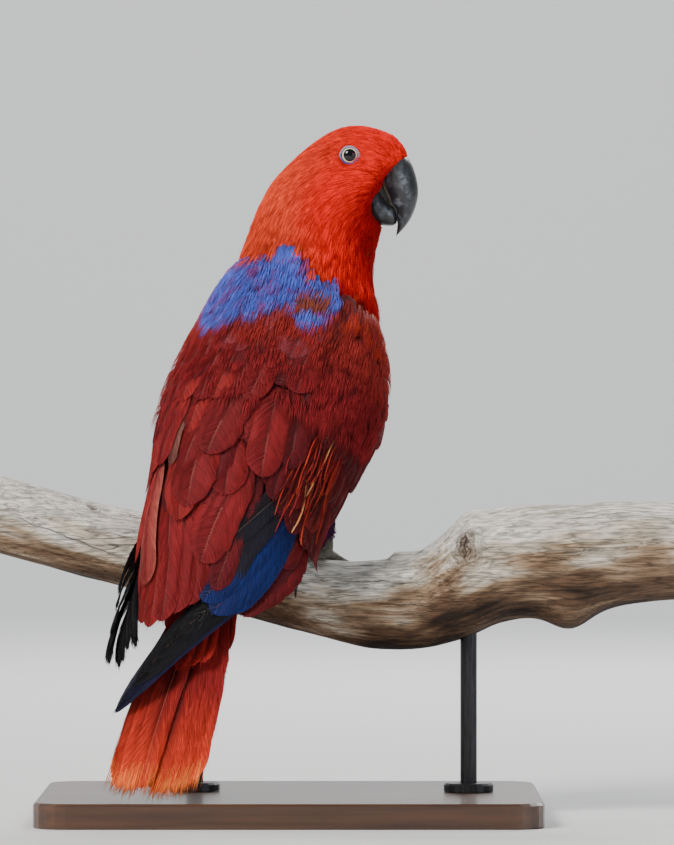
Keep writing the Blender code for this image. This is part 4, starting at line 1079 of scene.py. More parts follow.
def vaneSet(specs, place, draw, side, blade=fineBlade):
    # specs: root, tip, half-width, level, sideways bow, kind
    count = len(specs)
    vanes = {"place": place, "blade": blade, "side": side, "spread": 0.14, "sweep": 1.3, "frayTint": 1.0}
    for name, values in zip(("root", "tip", "half", "level", "bow"), zip(*specs)):
        vanes[name] = np.array(values, float).reshape(count, -1)
    for name, values in zip(kindFields, zip(*(vaneKinds[k[5]] for k in specs))):
        values = np.array([rgb(*k) if isinstance(k, tuple) else k for k in values])
        vanes[name] = values.reshape(count, 1, 3) if values.ndim > 1 else values[:, None]
    vanes["length"] = np.linalg.norm(vanes["tip"] - vanes["root"], axis=1)[:, None]
    closing = vanes["half"] * draw.uniform(1.1, 1.5, (count, 1)) / vanes["length"]
    vanes["round"] = np.clip(1.0 - closing, 0.3, 0.85)
    vanes["point"] = draw.uniform(1.7, 2.1, (count, 1))
    vanes["sink"] = np.full((count, 1), 1.5)
    vanes["tilt"] = 0.26
    vanes["camber"] = draw.uniform(0.15, 0.35, (count, 1))
    vanes["phase"] = draw.uniform(0.0, 6.28, (count, 1))
    tips = place(vanes["tip"][:, 0], vanes["tip"][:, 1], 0.0)[0]
    vanes["light"] = ((1.0 + 0.22 * noiseAt(tips, 17.0, 1.0)) * draw.uniform(0.92, 1.09, count))[:, None]
    across = math.ceil(math.sqrt(count))
    vanes["cellSize"] = 1.0 / across
    vanes["cell"] = np.stack([np.arange(count) % across, np.arange(count) // across], 1) / across
    return vanes


def vanePiece(name, vanes, mat, draw, each, reach, slotName, *replaced, fray=0.0):
    # the blades as one piece, and the barbs that lie over them
    blades = keep(trianglePiece(name, mat, *bladeArrays(vanes, draw)), slotName, *replaced)
    groups = [fringeStrands(vanes, draw, each // 4, reach), shaftStrands(vanes),
              barbStrands(vanes, draw, each, reach)]
    if fray:
        groups.append(tipFray(vanes, draw, 50, fray))
    strandPieces(name + "Barbs", [np.concatenate(k) for k in zip(*groups)], plumeFine, slotName)
    print(name, "vanes", len(vanes["root"]), "triangles", len(blades.data.polygons))


# the vanes that the photo shows one by one, near the middle of the back
heroVanes = (
    ((142, -26), (81, -25), 8.0, -3.0, 1.5, "brick"),
    ((146, -18), (78, -17.5), 9.0, -2.6, 1.5, "brick"),
    ((146, -8), (80, -9), 9.0, -2.2, 1.0, "maroon"),
    ((148, 2), (84, -2), 9.0, -2.5, 1.0, "maroon"),
    ((150, 10), (88, 5), 9.0, -2.8, 1.0, "maroon"),
    ((155, 38), (96, 19), 6.5, -2.0, 2.0, "wine"),
    ((156, 50), (100, 25), 6.0, -2.3, 2.0, "charcoal"),
    ((160, 30), (107, 12), 11.0, -1.2, 1.5, "maroon"),
    # the pink vane here and the grey one further down carry painted sheen
    ((165, -26), (98, -23), 8.0, -0.8, 1.0, "pink"),
    ((178, -8), (124, 0), 12.0, -0.8, 1.5, "brick"),
    ((170, 18), (138, 22), 10.0, -0.9, 0.5, "maroon"),
    ((182, 0), (130, 4), 13.0, -0.3, 1.0, "maroon"),
    ((186, 16), (132, 13), 10.0, -1.6, 0.5, "wine"),
    ((186, -6), (128, -7), 10.0, -1.5, 0.5, "wine"),
    ((190, -26), (150, -30), 7.0, 0.0, 0.5, "brick"),
    ((190, 4), (148, -4), 9.0, -0.5, 0.5, "maroon"),
    ((188, -36), (144, -38), 9.0, -0.6, 0.5, "brick"),
    ((188, 14), (140, 13), 9.0, -1.0, 0.5, "wine"),
    ((176, -33), (116, -33), 7.5, -1.3, 0.5, "brick"),
    ((166, -38), (112, -40), 8.0, -1.4, 0.5, "brick"),
    ((180, -12), (151, -11.5), 3.5, 0.1, 0.0, "grey"),
    ((170, 46), (143, 45), 4.5, -0.4, 0.0, "wine"),
    ((196, -14), (152, -21), 7.0, 0.5, 0.5, "maroon"),
    ((198, 46), (160, 50), 8.0, 0.2, 0.5, "wine"),
    ((196, 34), (151, 37), 9.0, 0.4, 0.5, "maroon"),
    ((194, 16), (156, 9), 12.0, 0.6, 0.5, "maroon"),
)
# blue and charcoal vanes over the right wing's primaries, and the maroon strip under them
patchVanes = (
    ((172, 92), (88, 35), 5.5, -5.2, 3.0, "strip"),
    ((170, 93), (94, 43), 5.5, -5.0, 3.5, "strip"),
    ((168, 93), (102, 51), 5.5, -4.8, 3.5, "strip"),
    ((166, 92), (109, 58), 5.5, -4.6, 3.5, "strip"),
    ((166, 91), (117, 65), 5.5, -4.4, 3.5, "strip"),
    ((164, 90), (124, 70), 5.5, -4.2, 3.0, "strip"),
    ((160, 84), (116, 55), 5.5, -4.0, 3.0, "strip"),
    ((152, 72), (93, 31), 6.0, -3.7, 2.0, "blue"),
    ((149, 69), (88, 26), 7.0, -3.3, 2.0, "blue"),
    ((147, 65), (86, 19), 8.0, -2.9, 2.0, "blue"),
    ((146, 60), (91, 13), 8.0, -2.5, 2.0, "blue"),
    ((150, 56), (108, 25), 7.0, -2.2, 1.5, "charcoal"),
    ((152, 52), (118, 26), 6.0, -2.0, 1.5, "charcoal"),
)
# dark wispy vanes over the top of the leg
flankVanes = (
    ((178, 84), (142, 70), 6.0, -2.8, 0.0, "flank"),
    ((180, 90), (138, 78), 6.0, -3.0, 0.0, "flank"),
    ((180, 95), (136, 84), 6.0, -3.2, 0.0, "flank"),
    ((182, 99), (140, 89), 6.0, -3.4, 0.0, "flank"),
    ((184, 102), (147, 93), 6.0, -3.6, 0.0, "flank"),
    ((186, 104), (154, 97), 5.0, -3.8, 0.0, "flank"),
)


def emberVanes(draw):
    # thin loose barbs, orange and gold, over the wing's darkest part
    specs = []
    for n in range(56):
        root = (draw.uniform(158.0, 186.0), draw.uniform(52.0, 80.0))
        run = draw.uniform(16.0, 34.0)
        tip = (root[0] - run, root[1] - run * draw.uniform(0.0, 0.25) + draw.uniform(-2.0, 2.0))
        kind = "gold" if n in (7, 31) else ("ember", "brick", "flank")[n % 3]
        half, level, bow = draw.uniform((0.14, 0.1, -3.0), (0.26, 0.6, 3.0))
        specs.append((root, tip, half, level, bow, kind))
    return specs


def rowVanes(rows, side, inner, draw):
    # rows of covert vanes across a wing, from near the back to the edge
    specs = []
    for s0, s1, q0, q1, step, length, half, level, drift, kinds in rows:
        count = max(1, int(round((q1 - q0 - inner) / step)))
        for n in range(count + 1):
            t = n / count
            q = mix(q0 + inner, q1, t) + draw.normal(0.0, 0.9)
            s = mix(s0, s1, t) + draw.normal(0.0, 1.7)
            tip = (s, (q + drift * mix(1.0, 0.2, t)) * side)
            root = (s + length * draw.uniform(0.93, 1.07), (q + 0.5) * side)
            kind = kinds[int(draw.integers(len(kinds)))]
            wide = half * draw.uniform(0.85, 1.15)
            specs.append((root, tip, wide, level + draw.normal(0.0, 0.08), 0.5 * side, kind))
    return specs


mantle = {"density": 0.2, "strands": 7, "length": 15.5, "half": 2.7, "width": 0.5, "rise": 1.8, "shift": 0.7}
mantleFront = ((0.0, 284.0), (50.0, 266.0), (70.0, 259.0), (100.0, 242.0))


def growMantle():
    # hair-like tufts over the top of the back and both shoulders, laid along the sheet
    draw = np.random.default_rng(53)
    count = int(92.0 * 200.0 * mantle["density"])
    s = draw.uniform(190.0, 282.0, count)
    q = draw.uniform(-100.0, 100.0, count)
    front = readRows(mantleFront, np.abs(q))[:, 0]
    shown = mantle["length"] * mantle["shift"]
    blueEnd = readRows(mantleLow, q)[:, 0] + shown
    share = np.where(s > blueEnd - 3.0, 1.0, mix(0.12, 0.45, ease(200.0, 244.0, s)))
    share = np.where(np.abs(q) > 50.0, 0.6, share)
    blueTop = readRows(mantleTop, q)[:, 0] + shown + draw.normal(-2.5, 2.2, count)
    chosen = (s < front) & (s < blueTop) & (draw.uniform(0.0, 1.0, count) < share)
    s, q = s[chosen][:, None], q[chosen][:, None]
    count = len(s)
    shape = (count, mantle["strands"])
    shorter = mix(1.0, 0.75, ease(50.0, 80.0, np.abs(q)))
    length = mantle["length"] * draw.uniform(0.8, 1.2, (count, 1)) * shorter
    wander = noiseAt(np.stack([s, q, s * 0.0], -1), 14.0) * 0.08
    turn = draw.normal(0.0, 0.04, (count, 1)) + 0.10 * np.sign(q) + wander
    v = np.linspace(-1.0, 1.0, shape[1])[None] + draw.normal(0.0, 0.12, shape)
    top = ease(280.0, 262.0, s) * mix(1.0, 0.45, ease(46.0, 56.0, np.abs(q)))
    uneven = draw.uniform(0.5, 1.5, shape)
    laid = []
    for share, spread, high in ((0.0, 0.3, -1.4), (0.5, 0.8, 0.85), (1.0, 1.0, 1.0)):
        run = length * share * (1.0 - 0.22 * v * v * share)
        across = v * mantle["half"] * spread
        placeS = s - run * np.cos(turn) + across * np.sin(turn)
        placeQ = q + run * np.sin(turn) + across * np.cos(turn)
        laid.append(sheetPoint(placeS, placeQ, mantle["rise"] * high * top * uneven))
    spots, normals = zip(*laid)
    middle = sheetPoint(s - length * mantle["shift"], np.clip(q, -76.0, 76.0), 0.0)[0]
    tint = plumageTint(middle[:, 0], draw.uniform(0.0, 1.0, (count, 2)))
    # a darker line along the seam between the back and the right shoulder: painted shade in that crease
    creaseShade = bell(q - 48.0 - (243.0 - s) * 0.08, 2.2) * ease(206.0, 222.0, s) * ease(268.0, 258.0, s)
    shade = mix(1.06, 0.9, v * v) * draw.uniform(0.84, 1.16, shape) * (1.0 - 0.6 * creaseShade)
    tint = tint[:, None] * shade[..., None]
    width = mantle["width"] * draw.uniform(0.75, 1.25, shape)
    place = bakePlace(sheetPoint(s, q, 0.0)[0][:, 0])[:, None]
    # the roots darker: painted shade under the tufts that lie over them
    strands = packStrands(spots, normals, width, 0.4, (tint * 0.76, tint), place)
    strandPieces("mantle", strands, plumeFine, "body_feathers")


redKinds = ("maroon", "wine", "maroon")
darkKinds = ("wine", "wine", "maroon")
backKinds = ("maroon", "wine", "maroon", "brick")
# the mauve vanes among the soft kinds are painted sheen on the maroon back
softKinds = ("mauve", "maroon", "mauve", "wine")
# a row: along the axis and round the back at both ends, step, length, half-width, level, drift, kinds
# rows from the flight feathers up to the shoulder, from the line where this wing begins
covertRows = (
    (136, 126, 14, 90, 8.0, 46, 7.0, -2.3, -4.0, darkKinds),
    (150, 138, 0, 92, 8.0, 42, 7.4, -1.8, -3.5, redKinds),
    (165, 155, 4, 98, 8.0, 36, 7.4, -1.3, -2.5, darkKinds),
    (179, 171, 0, 101, 7.6, 32, 7.0, -0.9, -1.5, darkKinds),
    (192, 185, 4, 104, 7.4, 28, 6.8, -0.5, -1.0, darkKinds),
    (204, 198, 0, 107, 7.2, 24, 6.4, -0.3, -0.8, redKinds),
    (216, 211, 4, 109, 7.2, 22, 6.2, -0.1, -0.5, darkKinds),
    (228, 223, 0, 107, 7.0, 20, 6.0, 0.0, -0.5, redKinds),
    (239, 234, 6, 102, 6.6, 18, 5.6, 0.0, -0.4, redKinds),
)
# soft broad feathers under the mantle, across both wings
backRows = (
    (166, 168, -50, 40, 9.0, 34, 8.6, -0.7, -1.0, backKinds),
    (172, 172, -46, -20, 9.5, 34, 8.4, 0.2, -1.0, ("brick", "maroon")),
    (184, 184, -42, 24, 9.5, 32, 8.4, 0.5, -1.5, backKinds),
    (197, 197, -48, 44, 9.0, 30, 8.6, 0.7, -1.5, backKinds),
    (209, 210, -44, 42, 8.5, 28, 8.6, 0.8, -1.0, softKinds),
    (220, 222, -48, 44, 8.0, 26, 8.4, 0.8, -1.0, softKinds),
    (231, 233, -44, 46, 7.6, 25, 8.0, 0.7, -1.0, softKinds),
    (242, 240, -48, 36, 7.0, 18, 7.0, 0.3, -1.0, softKinds),
)


# a fan: roots and tips of its first and last vane, number, half-width, both levels, bow, kinds
fans = {
    "primaries": (((178, 97), (178, 68)), ((41, -40), (88, 16)), 9, 8.6, (-7.6, -5.2), 8.0,
                  ("navy", "navy", *("primary",) * 7)),
    "secondaries": (((184, 74), (190, 30)), ((88, 24), (104, 12)), 5, 9.0, (-5.0, -3.6), 3.0, ("wine",)),
    "leftOver": (((176, 84), (176, 62)), ((57, 38), (102, 46)), 7, 4.6, (3.0, 4.2), 6.0, ("black",)),
    "leftUnder": (((176, 80), (176, 66)), ((62, 35), (72, 25)), 5, 4.6, (-1.0, -2.5), 9.0, ("black",)),
    "leftInner": (((184, 80), (190, 30)), ((80, 42), (94, 20)), 7, 8.5, (-5.2, -3.8), 3.0,
                  ("maroon", "brick")),
}


def flightVanes(name, side):
    # a fan of long vanes between the outermost and the innermost
    roots, tips, count, half, levels, bow, kinds = fans[name]
    specs = []
    for n in range(count):
        t = n / (count - 1)
        root, tip = ((mix(a[0], b[0], t), mix(a[1], b[1], t) * side) for a, b in (roots, tips))
        specs.append((root, tip, half, mix(*levels, t), bow * side, kinds[n % len(kinds)]))
    return specs


def makeWings():
    draw = np.random.default_rng(31)
    specs = flightVanes("primaries", 1.0) + flightVanes("secondaries", 1.0)
    right = vaneSet([*specs, *patchVanes, *flankVanes], sheetPoint, draw, 1.0)
    right["sink"][:9] = 0.6
    vanePiece("flightRight", right, vaneFlight, draw, 150, 1.6, "wing_feathers", "wing_right")
    specs = [(root, (tip[0] + draw.uniform(-4.0, 4.0), tip[1] + draw.uniform(-1.5, 1.5)), *rest)
             for root, tip, *rest in flightVanes("leftOver", -1.0) + flightVanes("leftUnder", -1.0)]
    left = vaneSet(specs + flightVanes("leftInner", -1.0), sheetPoint, draw, -1.0)
    left["sink"][:7] = 20.0
    left["sink"][7:12] = 9.0
    left["point"][:12] = 1.2
    left["round"][:12] = 0.8
    vanePiece("flightLeft", left, vaneFlight, draw, 150, 2.4, "wing_feathers", "wing_left", fray=4.0)
    hero = vaneSet(heroVanes, sheetPoint, draw, 1.0)
    vanePiece("tertials", hero, vaneWing, draw, 150, 2.6, "wing_feathers")
    ember = vaneSet(emberVanes(draw), sheetPoint, draw, 1.0, plainBlade)
    vanePiece("emberBarbs", ember, vaneWing, draw, 8, 1.0, "wing_feathers")
    back = vaneSet(rowVanes(backRows, 1.0, 0, draw), sheetPoint, draw, 1.0)
    vanePiece("backFeathers", back, vaneWing, draw, 84, 4.5, "wing_feathers")
    for name, side, inner, each in (("covertsRight", 1.0, 44, 74), ("covertsLeft", -1.0, 34, 54)):
        coverts = vaneSet(rowVanes(covertRows, side, inner, draw), sheetPoint, draw, side, plainBlade)
        coverts["sink"][-19:] = 4.0
        vanePiece(name, coverts, vaneWing, draw, each, 3.2, "wing_feathers")


def tailRows(rows, fall):
    # rows of coverts over the tail's root, lower to the sides
    specs = []
    for high, step, count, length, level in rows:
        for n in range(count):
            x = (n - (count - 1) / 2.0) * step
            tip = (high + abs(x) * 0.35, x * 0.95 - 2.0)
            specs.append(((high + length, x * 0.5), tip, 5.6, level - abs(x) * fall, 0.0, "tailCover"))
    return specs


# a half of the tail: side, first tip, step of tips and roots, number of vanes, level
tailHalves = ((-1.0, -8.0, 3.6, 2.6, 5, -1.2), (1.0, -1.0, 2.9, 1.6, 7, -3.4))


def makeTail():
    draw = np.random.default_rng(43)
    specs = []
    for n in range(6, -1, -1):
        for side, first, step, spread, most, lift in tailHalves:
            if n < most:
                root = (98.0, side * (1.0 + spread * n) - 4.0)
                tip = (3.0 + 0.14 * n * n, first + side * step * n)
                specs.append((root, tip, 8.0, lift - 0.25 * n, 1.5 * side, "tailRed"))
    tail = vaneSet(specs, tailPoint, draw, 1.0)
    for name, value in (("round", 0.86), ("sink", 1.0), ("camber", 0.5), ("spread", 0.2), ("sweep", 2.8)):
        tail[name] = value
    tail["light"] = tail["light"] * np.where(np.arange(12) % 4 < 2, 1.1, 0.84)[:, None]
    tail["frayTint"] = np.array([1.1, 3.4, 2.2])
    vanePiece("tailVanes", tail, vaneTail, draw, 280, 4.0, "tail_feathers", "tail", fray=7.0)
    rows = ((62, 6.4, 5, 40, 3.6), (78, 5.6, 6, 34, 4.6), (92, 5.0, 6, 26, 5.4))
    upper = vaneSet(tailRows(rows, 0.06), tailPoint, draw, 1.0)
    vanePiece("tailCoverts", upper, vaneTail, draw, 120, 3.6, "tail_feathers")
    rows = ((52, 6.4, 5, 46, -7.4), (72, 5.6, 6, 34, -8.4))
    under = vaneSet(tailRows(rows, 0.0), tailPoint, draw, 1.0)
    under["sink"] *= -1.0
    under["camber"] *= -1.0
    vanePiece("tailUnder", under, vaneTail, draw, 80, 3.0, "tail_feathers")


makeWings()
growMantle()
makeTail()


# bill

bill = {"sides": 56, "rows": 110}
upperBillRows = (
    (0.0, 53.2, 322.6, 40.8, 312.5, 10.3),
    (1.0, 57.8, 317.0, 44.1, 308.8, 11.4),
    (2.0, 60.1, 311.9, 45.0, 303.6, 10.0),
    (3.0, 61.7, 305.3, 47.5, 298.5, 9.0),
    (4.0, 61.8, 299.7, 48.3, 295.6, 8.0),
    (5.0, 60.6, 294.2, 50.4, 293.7, 6.4),
    (6.0, 58.5, 289.1, 51.3, 290.3, 4.8),
    (7.0, 55.5, 284.7, 51.8, 286.7, 3.2),
    (8.0, 53.1, 282.1, 51.7, 283.5, 1.8),
    (8.6, 51.8, 280.9, 51.4, 281.4, 0.8),
)
lowerBillRows = (
    (0.0, 39.9, 305.4, 34.7, 290.1, 6.5),
    (1.0, 43.0, 303.0, 37.1, 287.6, 8.3),
    (2.0, 45.1, 299.8, 40.5, 286.2, 8.0),
    (3.0, 47.3, 297.0, 45.2, 285.4, 7.0),
    (4.0, 49.4, 295.2, 49.2, 285.3, 5.6),
    (5.0, 50.9, 293.2, 51.2, 286.4, 3.6),
    (5.5, 51.5, 291.0, 51.9, 288.2, 1.6),
)


def billSpot(rows, tipPlace, turn, row):
    # rings from the ridge round to the cutting edge, closed at both ends
    share, ends = tubePlaces(row, bill["rows"])
    values = readRows(rows, share * rows[-1][0])
    rise = np.cos(2.0 * math.pi * turn)
    side = np.sin(2.0 * math.pi * turn)
    under = rise < 0.0
    rise = np.where(under, -np.abs(rise) ** 1.7, rise)
    side = np.where(under, np.sign(side) * np.abs(side) ** 0.75, side)
    t = (1.0 - rise) / 2.0
    spots = np.stack([mix(values[:, 0], values[:, 2], t), stance["headMiddle"] + values[:, 4] * side,
                      mix(values[:, 1], values[:, 3], t)], 1)
    rear = ((rows[0][1] + rows[0][3]) / 2.0, (rows[0][2] + rows[0][4]) / 2.0)
    for (end, at), (x, z) in zip(ends, (rear, tipPlace)):
        spots[end] = (x, stance["headMiddle"], z)
    grow = noiseAt(spots, 2.5, 4.0) * 0.10 + noiseAt(spots, 0.9, 8.0) * 0.035
    aside = spots[:, 1] - stance["headMiddle"]
    spots[:, 1] += grow * np.sign(aside) * ease(0.0, 2.0, np.abs(aside))
    return spots


def billTint(t, run, spots, upper):
    # charcoal, paler grey in cloudy patches on the flanks; t from ridge to cutting edge, run from root to tip
    cloud = ease(-0.3, 0.4, noiseAt(spots * np.array([1.0, 1.0, 0.55]), 3.0, 2.0))
    cloud = cloud * ease(-0.5, 0.3, noiseAt(spots, 1.3, 7.0))
    flank = ease(0.1, 0.45, t) * ease(1.0, 0.75, t) * ease(0.0, 0.2, run) * ease(0.95, 0.6, run)
    dusk = np.clip(ease(0.22, 0.0, t) * 0.6 + ease(0.7, 1.0, run) * 0.6, 0.0, 1.0)
    layers = [(rgb(108, 116, 126), flank * cloud * 0.85), (rgb(22, 22, 26), dusk)]
    if upper:
        edge = ease(0.93, 0.985, t) * ease(1.0, 0.8, run) + ease(0.035, 0.0, run) * ease(0.3, 0.0, t) * 0.2
        layers.append((rgb(206, 196, 172), np.clip(edge, 0.0, 0.8)))
    else:
        layers.append((rgb(12, 11, 14), ease(0.4, 0.85, t) * 0.8))
        layers.append((rgb(188, 180, 160), ease(0.07, 0.015, t) * ease(1.0, 0.8, run) * 0.7))
    return layered(rgb(34, 36, 42), layers)


def billMaterial():
    # horn: a cloudy tint, brushed along its curve, with pale scratches
    mat, tree, shader = newTree("satinBill")
    along = objectPlace(tree, (0.1, 1.0, 1.0), turn=(0.0, 0.9, 0.0))
    brushed = noiseNode(tree, along, 900.0, 3.0)
    scratches = thinLines(tree, along, 420.0, 0.012)
    dark = mathNode(tree, "MULTIPLY_ADD", cloudOf(tree, 1500.0, 5.0, (1.0, 1.0, 0.3)), 0.3, 0.6)
    dark = mathNode(tree, "MULTIPLY_ADD", brushed, 0.5, dark)
    dark = mathNode(tree, "MULTIPLY_ADD", scratches, 0.7, dark)
    relief = mathNode(tree, "MULTIPLY_ADD", scratches, -0.8, brushed)
    setInputs(tree, shader, {"Base Color": tinted(tree, dark), "Coat Weight": 0.25, "Coat Roughness": 0.2,
                             "Roughness": mathNode(tree, "MULTIPLY_ADD", brushed, 0.3, 0.24),
                             "Normal": bumpNode(tree, relief, 0.4, 0.15)})
    return mat


def makeBill():
    mat = billMaterial()
    for name, rows, tipPlace, node in (("upperBill", upperBillRows, (51.0, 280.2), "beak_upper"),
                                       ("lowerBill", lowerBillRows, (51.9, 289.4), "beak_lower")):
        thing = rolledGrid(name, bill["sides"], bill["rows"],
                           lambda turn, row: billSpot(rows, tipPlace, turn, row), mat)
        spots = meshPoints(thing)
        t, run = billPlace(spots, rows)
        paint(thing, billTint(t, run, spots, node == "beak_upper"))
        keep(thing, "bill_horn", node)


def billPlace(spots, rows):
    # the share from ridge to cutting edge and from root to tip, from the nearest row
    values = readRows(rows, np.linspace(0.0, rows[-1][0], 160))
    ridge = values[:, 0:2]
    across = values[:, 2:4] - ridge
    off = spots[:, None, [0, 2]] - ridge[None]
    t = np.clip(np.sum(off * across[None], 2) / np.sum(across * across, 1)[None], 0.0, 1.0)
    away = np.linalg.norm(off - across[None] * t[..., None], axis=2)
    best = np.argmin(away, axis=1)
    return t[np.arange(len(spots)), best], best / 159.0


# eyes and the beaded ring of bare skin round each

lid = {"radius": 4.34, "thick": 0.5, "beads": 26, "side": 19.15, "corner": 0.16}
# share of the ball's radius, and the colour from there on
irisRings = ((0.0, (2, 2, 3)), (0.545, (2, 2, 3)), (0.575, (190, 186, 150)), (0.61, (236, 232, 206)),
             (0.685, (214, 208, 176)), (0.73, (40, 37, 42)))


def eyeMaterial():
    # rings of colour by how far a place is from the eye's axis
    mat, tree, shader = newTree("paleEye")
    middle = objectPlace(tree, shift=(-eye["x"] * mm, 0.0, -eye["z"] * mm))
    parts = splitVector(tree, middle)
    away = vectorNode(tree, "LENGTH", {0: joinVector(tree, parts["X"], parts["Z"])})["Value"]
    share = mathNode(tree, "MULTIPLY", away, 1.0 / (eye["radius"] * mm))
    wobble = mathNode(tree, "MULTIPLY_ADD", noiseNode(tree, middle, 2600.0, 2.0), 0.02, -0.01)
    ramp = addNode(tree, "ShaderNodeValToRGB", {"Fac": mathNode(tree, "ADD", share, wobble)})
    marks = ramp.color_ramp.elements
    while len(marks) < len(irisRings):
        marks.new(0.5)
    for mark, (place, colour) in zip(marks, irisRings):
        mark.position = place
        mark.color = (*rgb(*colour), 1.0)
    setInputs(tree, shader, {"Base Color": ramp.outputs["Color"], "Roughness": 0.5, "Specular IOR Level": 0.0,
                             "Coat Weight": 1.0, "Coat Roughness": 0.02})
    return mat


def lidMaterial():
    mat, tree, shader = newTree("beadedLid")
    dark = mathNode(tree, "MULTIPLY_ADD", cloudOf(tree, 1800.0, 3.0), 0.4, 0.75)
    setInputs(tree, shader, {"Base Color": tinted(tree, dark), "Roughness": 0.45})
    return mat


def roundEye(side, across, up, out):
    # a place beside the eye's axis, out from the head's middle
    return np.stack([eye["x"] + across, stance["headMiddle"] + side * out, eye["z"] + up], 1)


def makeEyes():
    ball = eyeMaterial()
    rim = lidMaterial()
    for name, side in (("eye_right", -1.0), ("eye_left", 1.0)):
        deselectAll()
        bpy.ops.mesh.primitive_uv_sphere_add(radius=eye["radius"] * mm, segments=64, ring_count=40)
        thing = bpy.context.object
        thing.name = name + "Ball"
        x, y, z = meshPoints(thing).T
        bulge = ease(0.72, 0.95, z / eye["radius"]) * 0.25
        setMeshPoints(thing, roundEye(side, x * side, y, eye["side"] + (z + bulge)))
        closeMesh(thing)
        thing.data.materials.append(ball)
        keep(thing, "eye_gloss", name)
        deselectAll()
        bpy.ops.mesh.primitive_torus_add(major_segments=156, minor_segments=14,
                                         major_radius=lid["radius"] * mm, minor_radius=lid["thick"] * mm)
        ring = bpy.context.object
        ring.name = name + "Lid"
        x, y, z = meshPoints(ring).T
        turn = np.arctan2(y, x)
        bead = 1.0 + 0.22 * np.cos(turn * lid["beads"])
        corner = lid["corner"] * bell(np.sin(turn), 0.22)
        radius = lid["radius"] * (1.0 + corner * 0.5) * (1.0 - 0.05 * np.sin(turn) ** 2)
        radius = radius + (np.hypot(x, y) - lid["radius"]) * bead
        setMeshPoints(ring, roundEye(side, np.cos(turn) * radius, np.sin(turn) * radius,
                                     lid["side"] + z * bead * 1.1))
        closeMesh(ring)
        ring.data.materials.append(rim)
        tint = mix(rgb(72, 66, 132), rgb(146, 152, 176), ease(-0.7, 0.6, np.sin(turn))[:, None])
        # each bead's crest lighter and the hollows between the beads darker: painted shade
        paint(ring, tint * (0.3 + 0.65 * bead)[:, None])
        keep(ring, "foot_skin")


mouth = {"path": ((38.0, 304.5), (42.5, 303.6), (46.0, 299.5), (48.6, 295.4), (49.8, 293.4)),
         "radii": (4.4, 3.8, 2.6, 1.6, 0.8)}


def twoToneMaterial(name, scale, one, two, values):
    # a cloud of two colours
    mat, tree, shader = newTree(name)
    colour = mixColour(tree, cloudOf(tree, *scale), rgb(*one), rgb(*two))
    setInputs(tree, shader, {"Base Color": colour, **values})
    return mat


def makeMouth():
    # the dark inside of the mouth, with the tongue
    mat = twoToneMaterial("darkMouth", (500.0, 3.0), (6, 5, 6), (22, 14, 15), {"Roughness": 0.5})
    path = [(x, stance["headMiddle"], z) for x, z in mouth["path"]]
    keep(tubePiece("mouth", path, mouth["radii"], 24, 40, mat, 1.2), "bill_horn")


makeBill()
makeEyes()
print("bill and eyes made")


# perch

perch = {"sides": 132, "rows": 330}
perchRows = (
    (-141.5, 12.0, 146.0, 18.8),
    (-98.0, 15.0, 133.9, 18.8),
    (-60.0, 13.0, 124.6, 18.8),
    (-26.5, 3.5, 116.5, 18.7),
    (0.0, 0.0, 109.2, 18.3),
    (21.6, 0.0, 104.3, 19.3),
    (42.0, 1.0, 102.6, 21.4),
    (64.0, 2.0, 104.9, 24.0),
    (84.0, 2.0, 114.8, 28.4),
    (103.5, 0.0, 121.9, 27.4),
    (134.0, -3.0, 124.7, 26.0),
    (168.0, -5.0, 127.6, 24.4),
    (186.5, -5.0, 127.8, 23.2),
)
# crack: where it starts and ends along the perch, its turn at both ends (degrees), depth and width
cracks = (
    (18.0, 64.0, -62.0, -66.0, 0.7, 0.9),
    (38.0, 70.0, -84.0, -88.0, 0.7, 0.4),
    (52.0, 98.0, -40.0, -52.0, 0.6, 0.4),
    (98.0, 160.0, -60.0, -46.0, 0.9, 0.5),
    (110.0, 182.0, -88.0, -80.0, 0.8, 0.5),
    (-141.0, -82.0, -18.0, -34.0, 1.0, 0.5),
    (-120.0, -60.0, -70.0, -60.0, 0.8, 0.45),
    (-95.0, -40.0, -44.0, -50.0, 0.6, 0.4),
    (-60.0, 10.0, 40.0, 55.0, 0.8, 0.5),
    (40.0, 130.0, 60.0, 70.0, 0.9, 0.6),
    (-130.0, -50.0, 100.0, 120.0, 0.8, 0.6),
    (90.0, 180.0, 130.0, 110.0, 0.9, 0.6),
)
knot = {"x": 84.0, "turn": -61.0, "radius": 6.2}


def perchSpot(x, turn, off):
    x, turn, off = np.broadcast_arrays(np.asarray(x, float), np.asarray(turn, float), np.asarray(off, float))
    values = readRows(perchRows, x)
    reach = values[..., 2] + off
    return np.stack([x, values[..., 0] + reach * np.sin(turn), values[..., 1] + reach * np.cos(turn)], -1)


def aroundFrom(turn, other):
    # the shorter way round between two turns
    return (turn - other + math.pi) % (2.0 * math.pi) - math.pi


def onPerch(x, turn, radius, stretch):
    return np.stack([x / stretch, np.cos(turn) * radius, np.sin(turn) * radius], 1)


